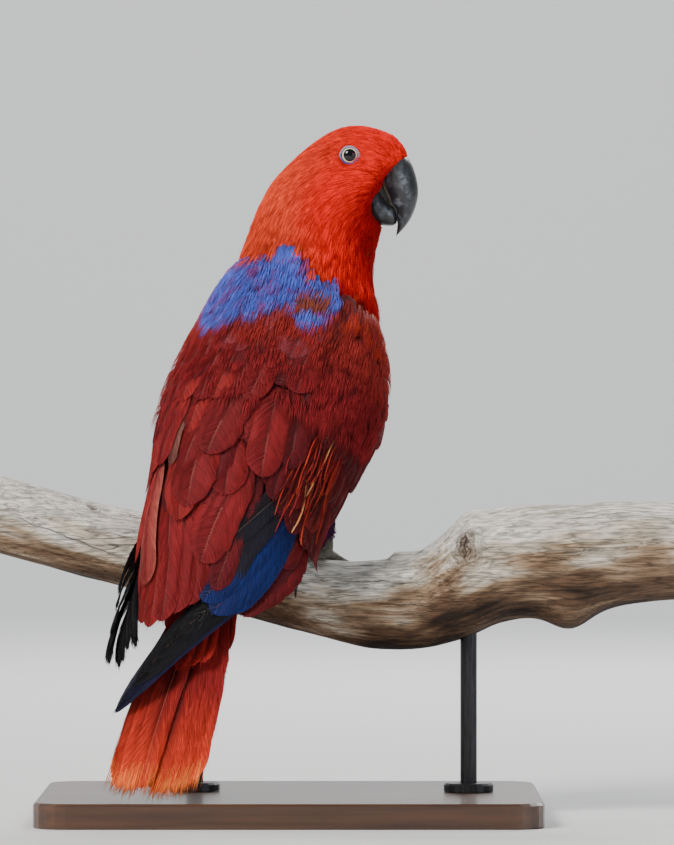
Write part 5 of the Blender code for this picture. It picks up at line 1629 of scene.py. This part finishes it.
def perchRelief(x, turn, radius):
    # how far the bare wood stands off its round, and how dark it is there
    grain = onPerch(x, turn + x * 0.003, radius, 9.0)
    off = noiseAt(grain, 1.7, 1.0) * 0.28 + noiseAt(onPerch(x, turn, radius, 3.2), 9.0, 2.0) * 0.9
    dark = np.clip(noiseAt(grain, 1.1, 6.0) * 0.7, -0.4, 0.6)
    for x0, x1, t0, t1, depth, width in cracks:
        t = (x - x0) / (x1 - x0)
        path = np.radians(mix(t0, t1, np.clip(t, 0.0, 1.0)))
        path = path + 0.05 * np.sin(x * 0.23 + t0) + 0.02 * np.sin(x * 0.9)
        cut = bell(aroundFrom(turn, path) * radius, width) * ease(0.0, 0.12, t) * ease(1.0, 0.85, t)
        off = off - cut * depth
        dark = np.maximum(dark, cut * 0.4)
    # the knot: a swollen ring with a sunk, split middle and ripples round it
    away = np.hypot(x - knot["x"], aroundFrom(turn, math.radians(knot["turn"])) * radius * 0.92)
    off = off + bell(away - knot["radius"], 2.2) * 2.2 - bell(away, 4.4) * 2.0
    off = off + np.cos(away * 2.1) * 0.3 * bell(away, 13.0)
    off = off - bell(x - knot["x"] - 0.6, 0.8) * ease(6.5, 4.5, away) * 1.6
    # a dark band just outside the swollen ring on the branch's lower half: painted shadow under the knot
    dark = np.maximum(dark, bell(away - knot["radius"] - 3.0, 1.2) * 0.5 * (np.cos(turn) < 0.0))
    # two lumps, a small nub and the hole of a lost twig
    off = off + 8.0 * bell(x - 135.0, 13.0) * ease(0.2, 1.0, -np.cos(turn + 0.25))
    off = off + 3.2 * bell(x - 86.0, 6.5) * ease(0.2, 1.0, np.cos(turn + 0.3))
    nub = np.where(x > 50.6, (x - 50.6) * 0.3, x - 50.6)
    off = off + 3.0 * bell(np.hypot(nub, aroundFrom(turn, math.radians(-12.0)) * radius), 2.6)
    hole = np.hypot(x + 95.0, aroundFrom(turn, math.radians(-32.0)) * radius)
    off = off - 1.6 * bell(hole, 2.2) + 0.7 * bell(hole - 4.2, 1.4)
    return off, np.maximum(dark, bell(hole, 2.0))


def perchTint(x, turn, radius, dark):
    # a painted highlight on top and painted shade below, with a ragged border; brown all round near the
    # knot's left
    streak = noiseAt(onPerch(x, turn, radius, 14.0), 2.0, 3.0)
    patch = noiseAt(onPerch(x, turn, radius, 3.0), 9.0, 5.0)
    # level is highest on top and lowest underneath: the cream above is painted light, the dark brown below
    # painted shade
    level = np.cos(turn + 0.15) + streak * 0.45 + patch * 0.7
    level = level + 0.35 * ease(60.0, 20.0, x) + 0.1 * ease(-40.0, -80.0, x)
    level = level + 0.16 - 0.45 * bell(x - 73.0, 8.0) * ease(-40.0, -62.0, np.degrees(turn))
    return layered(rgb(46, 33, 26), ((rgb(104, 78, 58), ease(-0.95, -0.3, level)),
                                     (rgb(160, 134, 108), ease(-0.3, 0.2, level)),
                                     (rgb(208, 194, 174), ease(0.15, 0.55, level)),
                                     (rgb(240, 234, 224), ease(0.55, 1.05, level)),
                                     (rgb(40, 26, 18), np.clip(dark, 0.0, 0.9))))


# long cracks on the side seen: where each starts and ends, x and z in millimetres
woodCracks = (
    (21.0, 114.2, 64.0, 113.3, 0.45),
    (38.0, 103.7, 70.0, 101.8, 0.35),
    (-139.0, 147.2, -78.0, 123.8, 0.5),
    (130.0, 143.6, 166.0, 147.4, 0.35),
    (-120.0, 128.0, -66.0, 118.0, 0.35),
)


def crackLines(tree, wobble):
    parts = splitVector(tree, objectPlace(tree))
    total = 0.0
    for x0, z0, x1, z1, width in woodCracks:
        t = mathNode(tree, "MULTIPLY_ADD", parts["X"], 1000.0 / (x1 - x0), -x0 / (x1 - x0))
        line = mathNode(tree, "MULTIPLY_ADD", t, -(z1 - z0) * mm, parts["Z"])
        line = mathNode(tree, "SUBTRACT", line, z0 * mm)
        line = mathNode(tree, "ABSOLUTE", mathNode(tree, "MULTIPLY_ADD", wobble, 3.5 * mm, line))
        ends = mathNode(tree, "ABSOLUTE", mathNode(tree, "SUBTRACT", t, 0.5))
        cut = mathNode(tree, "MULTIPLY", rangeNode(tree, line, 0.0, width * mm, 1.0, 0.0),
                       rangeNode(tree, ends, 0.35, 0.5, 1.0, 0.0))
        total = mathNode(tree, "MAXIMUM", total, cut)
    return total


def knotRings(tree, wobble):
    # rings and a split round the knot's middle; the second value is the knot's own patch
    middle = perchSpot(knot["x"], math.radians(knot["turn"]), 0.0) * mm
    off = vectorNode(tree, "SUBTRACT", {0: objectPlace(tree), 1: tuple(middle)})[0]
    values = {"Vector": off, "Rotation": (0.0, 0.2, 0.0), "Scale": (1.25, 0.95, 0.9)}
    oval = addNode(tree, "ShaderNodeMapping", values).outputs["Vector"]
    away = vectorNode(tree, "LENGTH", {0: oval})["Value"]
    far = mathNode(tree, "MULTIPLY_ADD", wobble, 14.0 * mm, away)
    ring = mathNode(tree, "SINE", mathNode(tree, "MULTIPLY", far, 2.0 * math.pi / (3.1 * mm)))
    fade = rangeNode(tree, far, 5.0 * mm, 15.0 * mm, 1.0, 0.0)
    rings = mathNode(tree, "MULTIPLY", mathNode(tree, "MAXIMUM", ring, 0.0), fade)
    rings = mathNode(tree, "MULTIPLY", rings, 0.8)
    side = mathNode(tree, "MULTIPLY_ADD", wobble, 12.0 * mm, splitVector(tree, oval)["X"])
    split = rangeNode(tree, mathNode(tree, "ABSOLUTE", side), 0.1 * mm, 1.3 * mm, 1.0, 0.0)
    core = rangeNode(tree, far, 4.0 * mm, 9.5 * mm, 1.0, 0.0)
    return mathNode(tree, "MAXIMUM", rings, mathNode(tree, "MULTIPLY", split, core)), core


def woodMaterial():
    # weathered wood: long grain, broad streaks, specks, fibres, cracks and the knot's rings
    mat, tree, shader = newTree("bareWood")
    wobble = mathNode(tree, "SUBTRACT", noiseNode(tree, objectPlace(tree), 150.0, 4.0), 0.5)
    rings, core = knotRings(tree, wobble)
    marks = mathNode(tree, "MAXIMUM", rings, crackLines(tree, wobble))
    grain = cloudOf(tree, 1.0, 6.0, (110.0, 760.0, 760.0))
    fine = thinLines(tree, objectPlace(tree, (12.0, 180.0, 180.0)), 1.0, 0.016)
    fine = mathNode(tree, "MULTIPLY", fine, cloudOf(tree, 34.0, 2.0, shift=(0.3, 0.1, 0.2)))
    fibres = thinLines(tree, objectPlace(tree, (34.0, 420.0, 420.0), (0.2, 0.1, 0.3)), 1.0, 0.05)
    fine = mathNode(tree, "MAXIMUM", fine, mathNode(tree, "MULTIPLY", fibres, 0.55))
    fine = mathNode(tree, "MAXIMUM", fine, marks)
    dark = mathNode(tree, "MULTIPLY_ADD", grain, 0.7, 0.34)
    dark = mathNode(tree, "MULTIPLY_ADD", cloudOf(tree, 1.0, 4.0, (40.0, 190.0, 190.0)), 0.34, dark)
    dark = mathNode(tree, "MULTIPLY_ADD", cloudOf(tree, 600.0, 3.0, (0.5, 1.0, 1.0)), 0.26, dark)
    dark = mathNode(tree, "MULTIPLY", dark, mathNode(tree, "MULTIPLY_ADD", fine, -0.88, 1.0))
    amount = mathNode(tree, "MULTIPLY", core, 0.75)
    colour = mixColour(tree, amount, attributeOf(tree, "tint")["Color"], rgb(116, 86, 60))
    relief = mathNode(tree, "MULTIPLY_ADD", fine, -1.6, grain)
    setInputs(tree, shader, {"Base Color": tinted(tree, dark, colour), "Roughness": 0.78,
                             "Specular IOR Level": 0.3, "Normal": bumpNode(tree, relief, 0.7, 0.6)})
    return mat


def branchSpot(turn, row):
    # the branch's surface, with the right end broken off ragged
    angle = 2.0 * math.pi * turn
    share, ends = tubePlaces(row, perch["rows"])
    x = mix(perchRows[0][0], perchRows[-1][0], share)
    spots = perchSpot(x, angle, perchRelief(x, angle, readRows(perchRows, x)[:, 2])[0])
    broken = ease(150.0, 186.5, x) * (np.sin(angle * 3.0 + 1.0) * 2.0 + np.sin(angle * 11.0) * 1.1)
    spots[:, 0] += np.where(np.abs(angle - math.pi) < 1.9, broken, 0.0)
    for end, at in ends:
        spots[end] = perchRows[at][:3]
    return spots


def makePerch():
    thing = rolledGrid("branch", perch["sides"], perch["rows"], branchSpot, woodMaterial())
    x, y, z = meshPoints(thing).T
    middleY, middleZ, radius = readRows(perchRows, x).T
    turn = np.arctan2(y - middleY, z - middleZ)
    tint = perchTint(x, turn, radius, perchRelief(x, turn, radius)[1])
    tint[np.hypot(y - middleY, z - middleZ) < radius * 0.9] = rgb(176, 136, 92)
    paint(thing, tint)
    keep(thing, "perch_wood", "perch")


makePerch()
print("perch made")


# feet: toes round the perch, their claws

foot = {"left": -21.6, "right": 16.8, "toeRadius": 2.9, "gap": 0.35, "padRadius": 4.3,
        "ankleTurn": -6.0, "ankleOff": 7.5, "clawLength": 9.5, "clawRadius": 1.9, "voxel": 0.42,
        "turnEnd": 0.85}
# toe: how far it drifts along the perch, its turn round the perch at both ends (degrees)
toes = (
    ("front_inner", 10.0, 8.0, 84.0),
    ("front_outer", 21.0, 8.0, 96.0),
    ("back_inner", -24.0, -8.0, -60.0),
    ("back_outer", -14.0, -8.0, -66.0),
)


def tubePiece(name, path, radii, sides, rows, mat, flat=1.0):
    # a closed round tube along a smooth path of points
    last = len(path) - 1.0
    table = np.column_stack([np.arange(len(path)), path, radii])

    def spot(turn, row):
        share, ends = tubePlaces(row, rows)
        run = share * last
        values = readRows(table, run)
        ahead = readRows(table, np.minimum(run + 0.05, last))[:, :3]
        way = unit(ahead - readRows(table, np.maximum(run - 0.05, 0.0))[:, :3])
        side = unit(np.cross(way, np.array([0.13, 0.2, 0.97])))
        up = np.cross(side, way)
        angle = 2.0 * math.pi * turn
        ring = side * np.cos(angle)[:, None] + up * (np.sin(angle) * flat)[:, None]
        spots = values[:, :3] + ring * values[:, 3][:, None]
        for (end, at), out in zip(ends, (-1, 1)):
            spots[end] = table[at, 1:4] + way[end][0] * out * table[at, 4] * 0.5
        return spots

    return rolledGrid(name, sides, rows, spot, mat)


def footMaterial():
    mat, tree, shader = newTree("scaledFoot")
    values = {"Vector": objectPlace(tree), "Scale": 900.0}
    scales = addNode(tree, "ShaderNodeTexVoronoi", values, feature="DISTANCE_TO_EDGE").outputs["Distance"]
    line = rangeNode(tree, scales, 0.0, 0.16)
    colour = mixColour(tree, cloudOf(tree, 300.0, 4.0), rgb(78, 74, 66), rgb(120, 114, 98))
    colour = mixColour(tree, line, rgb(40, 38, 34), colour)
    setInputs(tree, shader, {"Base Color": colour, "Roughness": 0.6,
                             "Normal": bumpNode(tree, line, 0.7, 0.3)})
    return mat


def makeToe(footX, drift, first, last, mat):
    t = np.linspace(0.0, 1.0, 15)
    x = footX + drift * ease(0.0, foot["turnEnd"], t)
    path = perchSpot(x, np.radians(mix(first * 0.2, last, t)), foot["toeRadius"] + foot["gap"])
    swell = 1.0 + 0.07 * np.sin(t * 3.0 * 2.0 * math.pi - 1.2)
    return tubePiece("toe", path, foot["toeRadius"] * swell * mix(1.0, 0.86, t) - 0.15, 24, 60, mat)


def makeClaw(name, x, last, mat):
    # from the toe's end on round the perch, tapered
    radius = float(readRows(perchRows, x)[2])
    way = math.copysign(1.0, last)
    start = last + way * math.degrees(foot["gap"] * 1.3 / radius)
    step = math.degrees(foot["clawLength"] / radius)
    t = np.linspace(0.0, 1.0, 7)
    off = mix(foot["toeRadius"] + 1.6 * np.sin(math.pi * t), 0.9, t * t) + foot["gap"]
    path = perchSpot(x, np.radians(start + way * step * t), off)
    claw = tubePiece(name + "Horn", path, foot["clawRadius"] * (1.0 - 0.88 * t), 20, 30, mat, 1.15)
    keep(claw, "claw_horn", name)


def makeFeet():
    scaled = footMaterial()
    horn = twoToneMaterial("darkClaw", (600.0, 3.0), (24, 22, 22), (58, 52, 48), {"Roughness": 0.3})
    for side, footX in (("left", foot["left"]), ("right", foot["right"])):
        ankle = perchSpot(footX, math.radians(foot["ankleTurn"]), foot["ankleOff"])
        pad = perchSpot(footX, 0.0, foot["padRadius"] + foot["gap"])
        path = [ankle + np.array([0.0, -0.8, 3.5]), ankle, mix(ankle, pad, 0.5), pad]
        pieces = [tubePiece("shank", path, (4.0, 4.1, 4.0, 4.0), 24, 24, scaled)]
        for name, drift, first, last in toes:
            pieces.append(makeToe(footX, drift, first, last, scaled))
            makeClaw("claw_" + side + "_" + name, footX + drift, last, horn)
        whole = joinAll(pieces, "foot_" + side + "Skin")
        oneSurface(whole, foot["voxel"], 4, scaled)
        keep(whole, "foot_skin", "foot_" + side)


makeFeet()
makeMouth()
print("feet and mouth made")


# stand: the frame's own solids with better materials

def standMaterials():
    wood, tree, shader = newTree("darkWood")
    grain = cloudOf(tree, 1.0, 5.0, (12.0, 260.0, 260.0))
    values = {"Vector": objectPlace(tree, (4.0, 60.0, 60.0)), "Scale": 1.0, "Distortion": 4.0, "Detail": 3.0}
    rings = addNode(tree, "ShaderNodeTexWave", values, bands_direction="Y").outputs["Fac"]
    colour = mixColour(tree, grain, rgb(60, 36, 22), rgb(98, 62, 38))
    colour = mixColour(tree, mathNode(tree, "MULTIPLY", rings, 0.35), colour, rgb(44, 26, 16))
    setInputs(tree, shader, {"Base Color": colour, "Roughness": 0.38, "Coat Weight": 0.4,
                             "Coat Roughness": 0.2})
    metal = twoToneMaterial("darkRod", (900.0, 3.0, (1.0, 1.0, 0.1)), (46, 46, 48), (66, 66, 68),
                            {"Metallic": 0.9, "Roughness": 0.42})
    for name, mat in (("stand_base", wood), ("stand_rod_left", metal), ("stand_rod_right", metal)):
        for place in frame["nodes"][name].material_slots:
            place.material = mat


standMaterials()


# stage

stage = {"floorWide": 30.0, "floorFront": -16.0, "bendStart": 3.5, "bendRadius": 2.0, "aim": (0.0, 0.0, 0.2),
         "washAim": (0.0, 5.6, 1.6), "photoPlace": (22.6, -3010.0, 190.0), "lens": 266.3}
# lamp: where it stands (m), how wide it is (m), its power and colour
lamps = {
    "key": ((-1.5, -1.8, 1.9), 1.0, 92.0, (1.0, 0.965, 0.92)),
    "fill": ((1.6, -1.5, 0.6), 1.2, 8.0, (0.86, 0.92, 1.0)),
    "rim": ((0.7, 1.8, 1.5), 0.9, 30.0, (1.0, 1.0, 1.0)),
    "wash": ((0.0, 2.2, 4.2), 3.0, 120.0, (0.97, 0.98, 1.0)),
}


def makeFloor():
    # a pale floor that sweeps up far behind
    deselectAll()
    bpy.ops.mesh.primitive_grid_add(x_subdivisions=2, y_subdivisions=150, size=1.0)
    floor = bpy.context.object
    floor.name = "floor"
    flat = meshPoints(floor) * mm
    bend, radius = stage["bendStart"], stage["bendRadius"]
    run = (flat[:, 1] + 0.5) * stage["floorWide"] + stage["floorFront"]
    turn = np.clip((run - bend) / radius, 0.0, math.pi / 2.0)
    past = np.clip(run - bend - math.pi, 0.0, None)
    y = np.where(run < bend, run, bend + radius * np.sin(turn))
    z = np.where(run < bend, 0.0, radius * (1.0 - np.cos(turn)) + past)
    setMeshPoints(floor, np.stack([flat[:, 0] * stage["floorWide"], y, z], 1) / mm)
    bpy.ops.object.shade_smooth()
    mat, tree, shader = newTree("paleFloor")
    setInputs(tree, shader, {"Base Color": (0.86, 0.86, 0.85), "Roughness": 0.9})
    floor.data.materials.append(mat)


def makeLight():
    world = bpy.data.worlds.new("softRoom")
    bpy.context.scene.world = world
    world.use_nodes = True
    back = world.node_tree.nodes["Background"]
    setInputs(world.node_tree, back, {"Color": (0.80, 0.84, 0.88), "Strength": 0.38})
    for name, (place, size, power, colour) in lamps.items():
        light = bpy.data.lights.new(name, "AREA")
        light.size = size
        light.energy = power
        light.color = colour
        lamp = addObject(name, light)
        lamp.location = place
        toward = Vector(stage["washAim"] if name == "wash" else stage["aim"])
        lamp.rotation_euler = (toward - Vector(place)).to_track_quat("-Z", "Y").to_euler()


def makeCamera():
    # level, three metres from the head, with the photo's frame
    lens = bpy.data.cameras.new("camera")
    lens.sensor_width = 36.0
    lens.lens = stage["lens"]
    lens.clip_end = 50.0
    camera = addObject("camera", lens)
    camera.location = [k * mm for k in stage["photoPlace"]]
    camera.rotation_euler = (math.radians(90.0), 0.0, 0.0)
    bpy.context.scene.camera = camera


makeFloor()
makeLight()
makeCamera()
print("stage made")

total = sum(len(k.data.polygons) for k in bpy.context.scene.objects if k.type == "MESH")
print("faces in all", total)
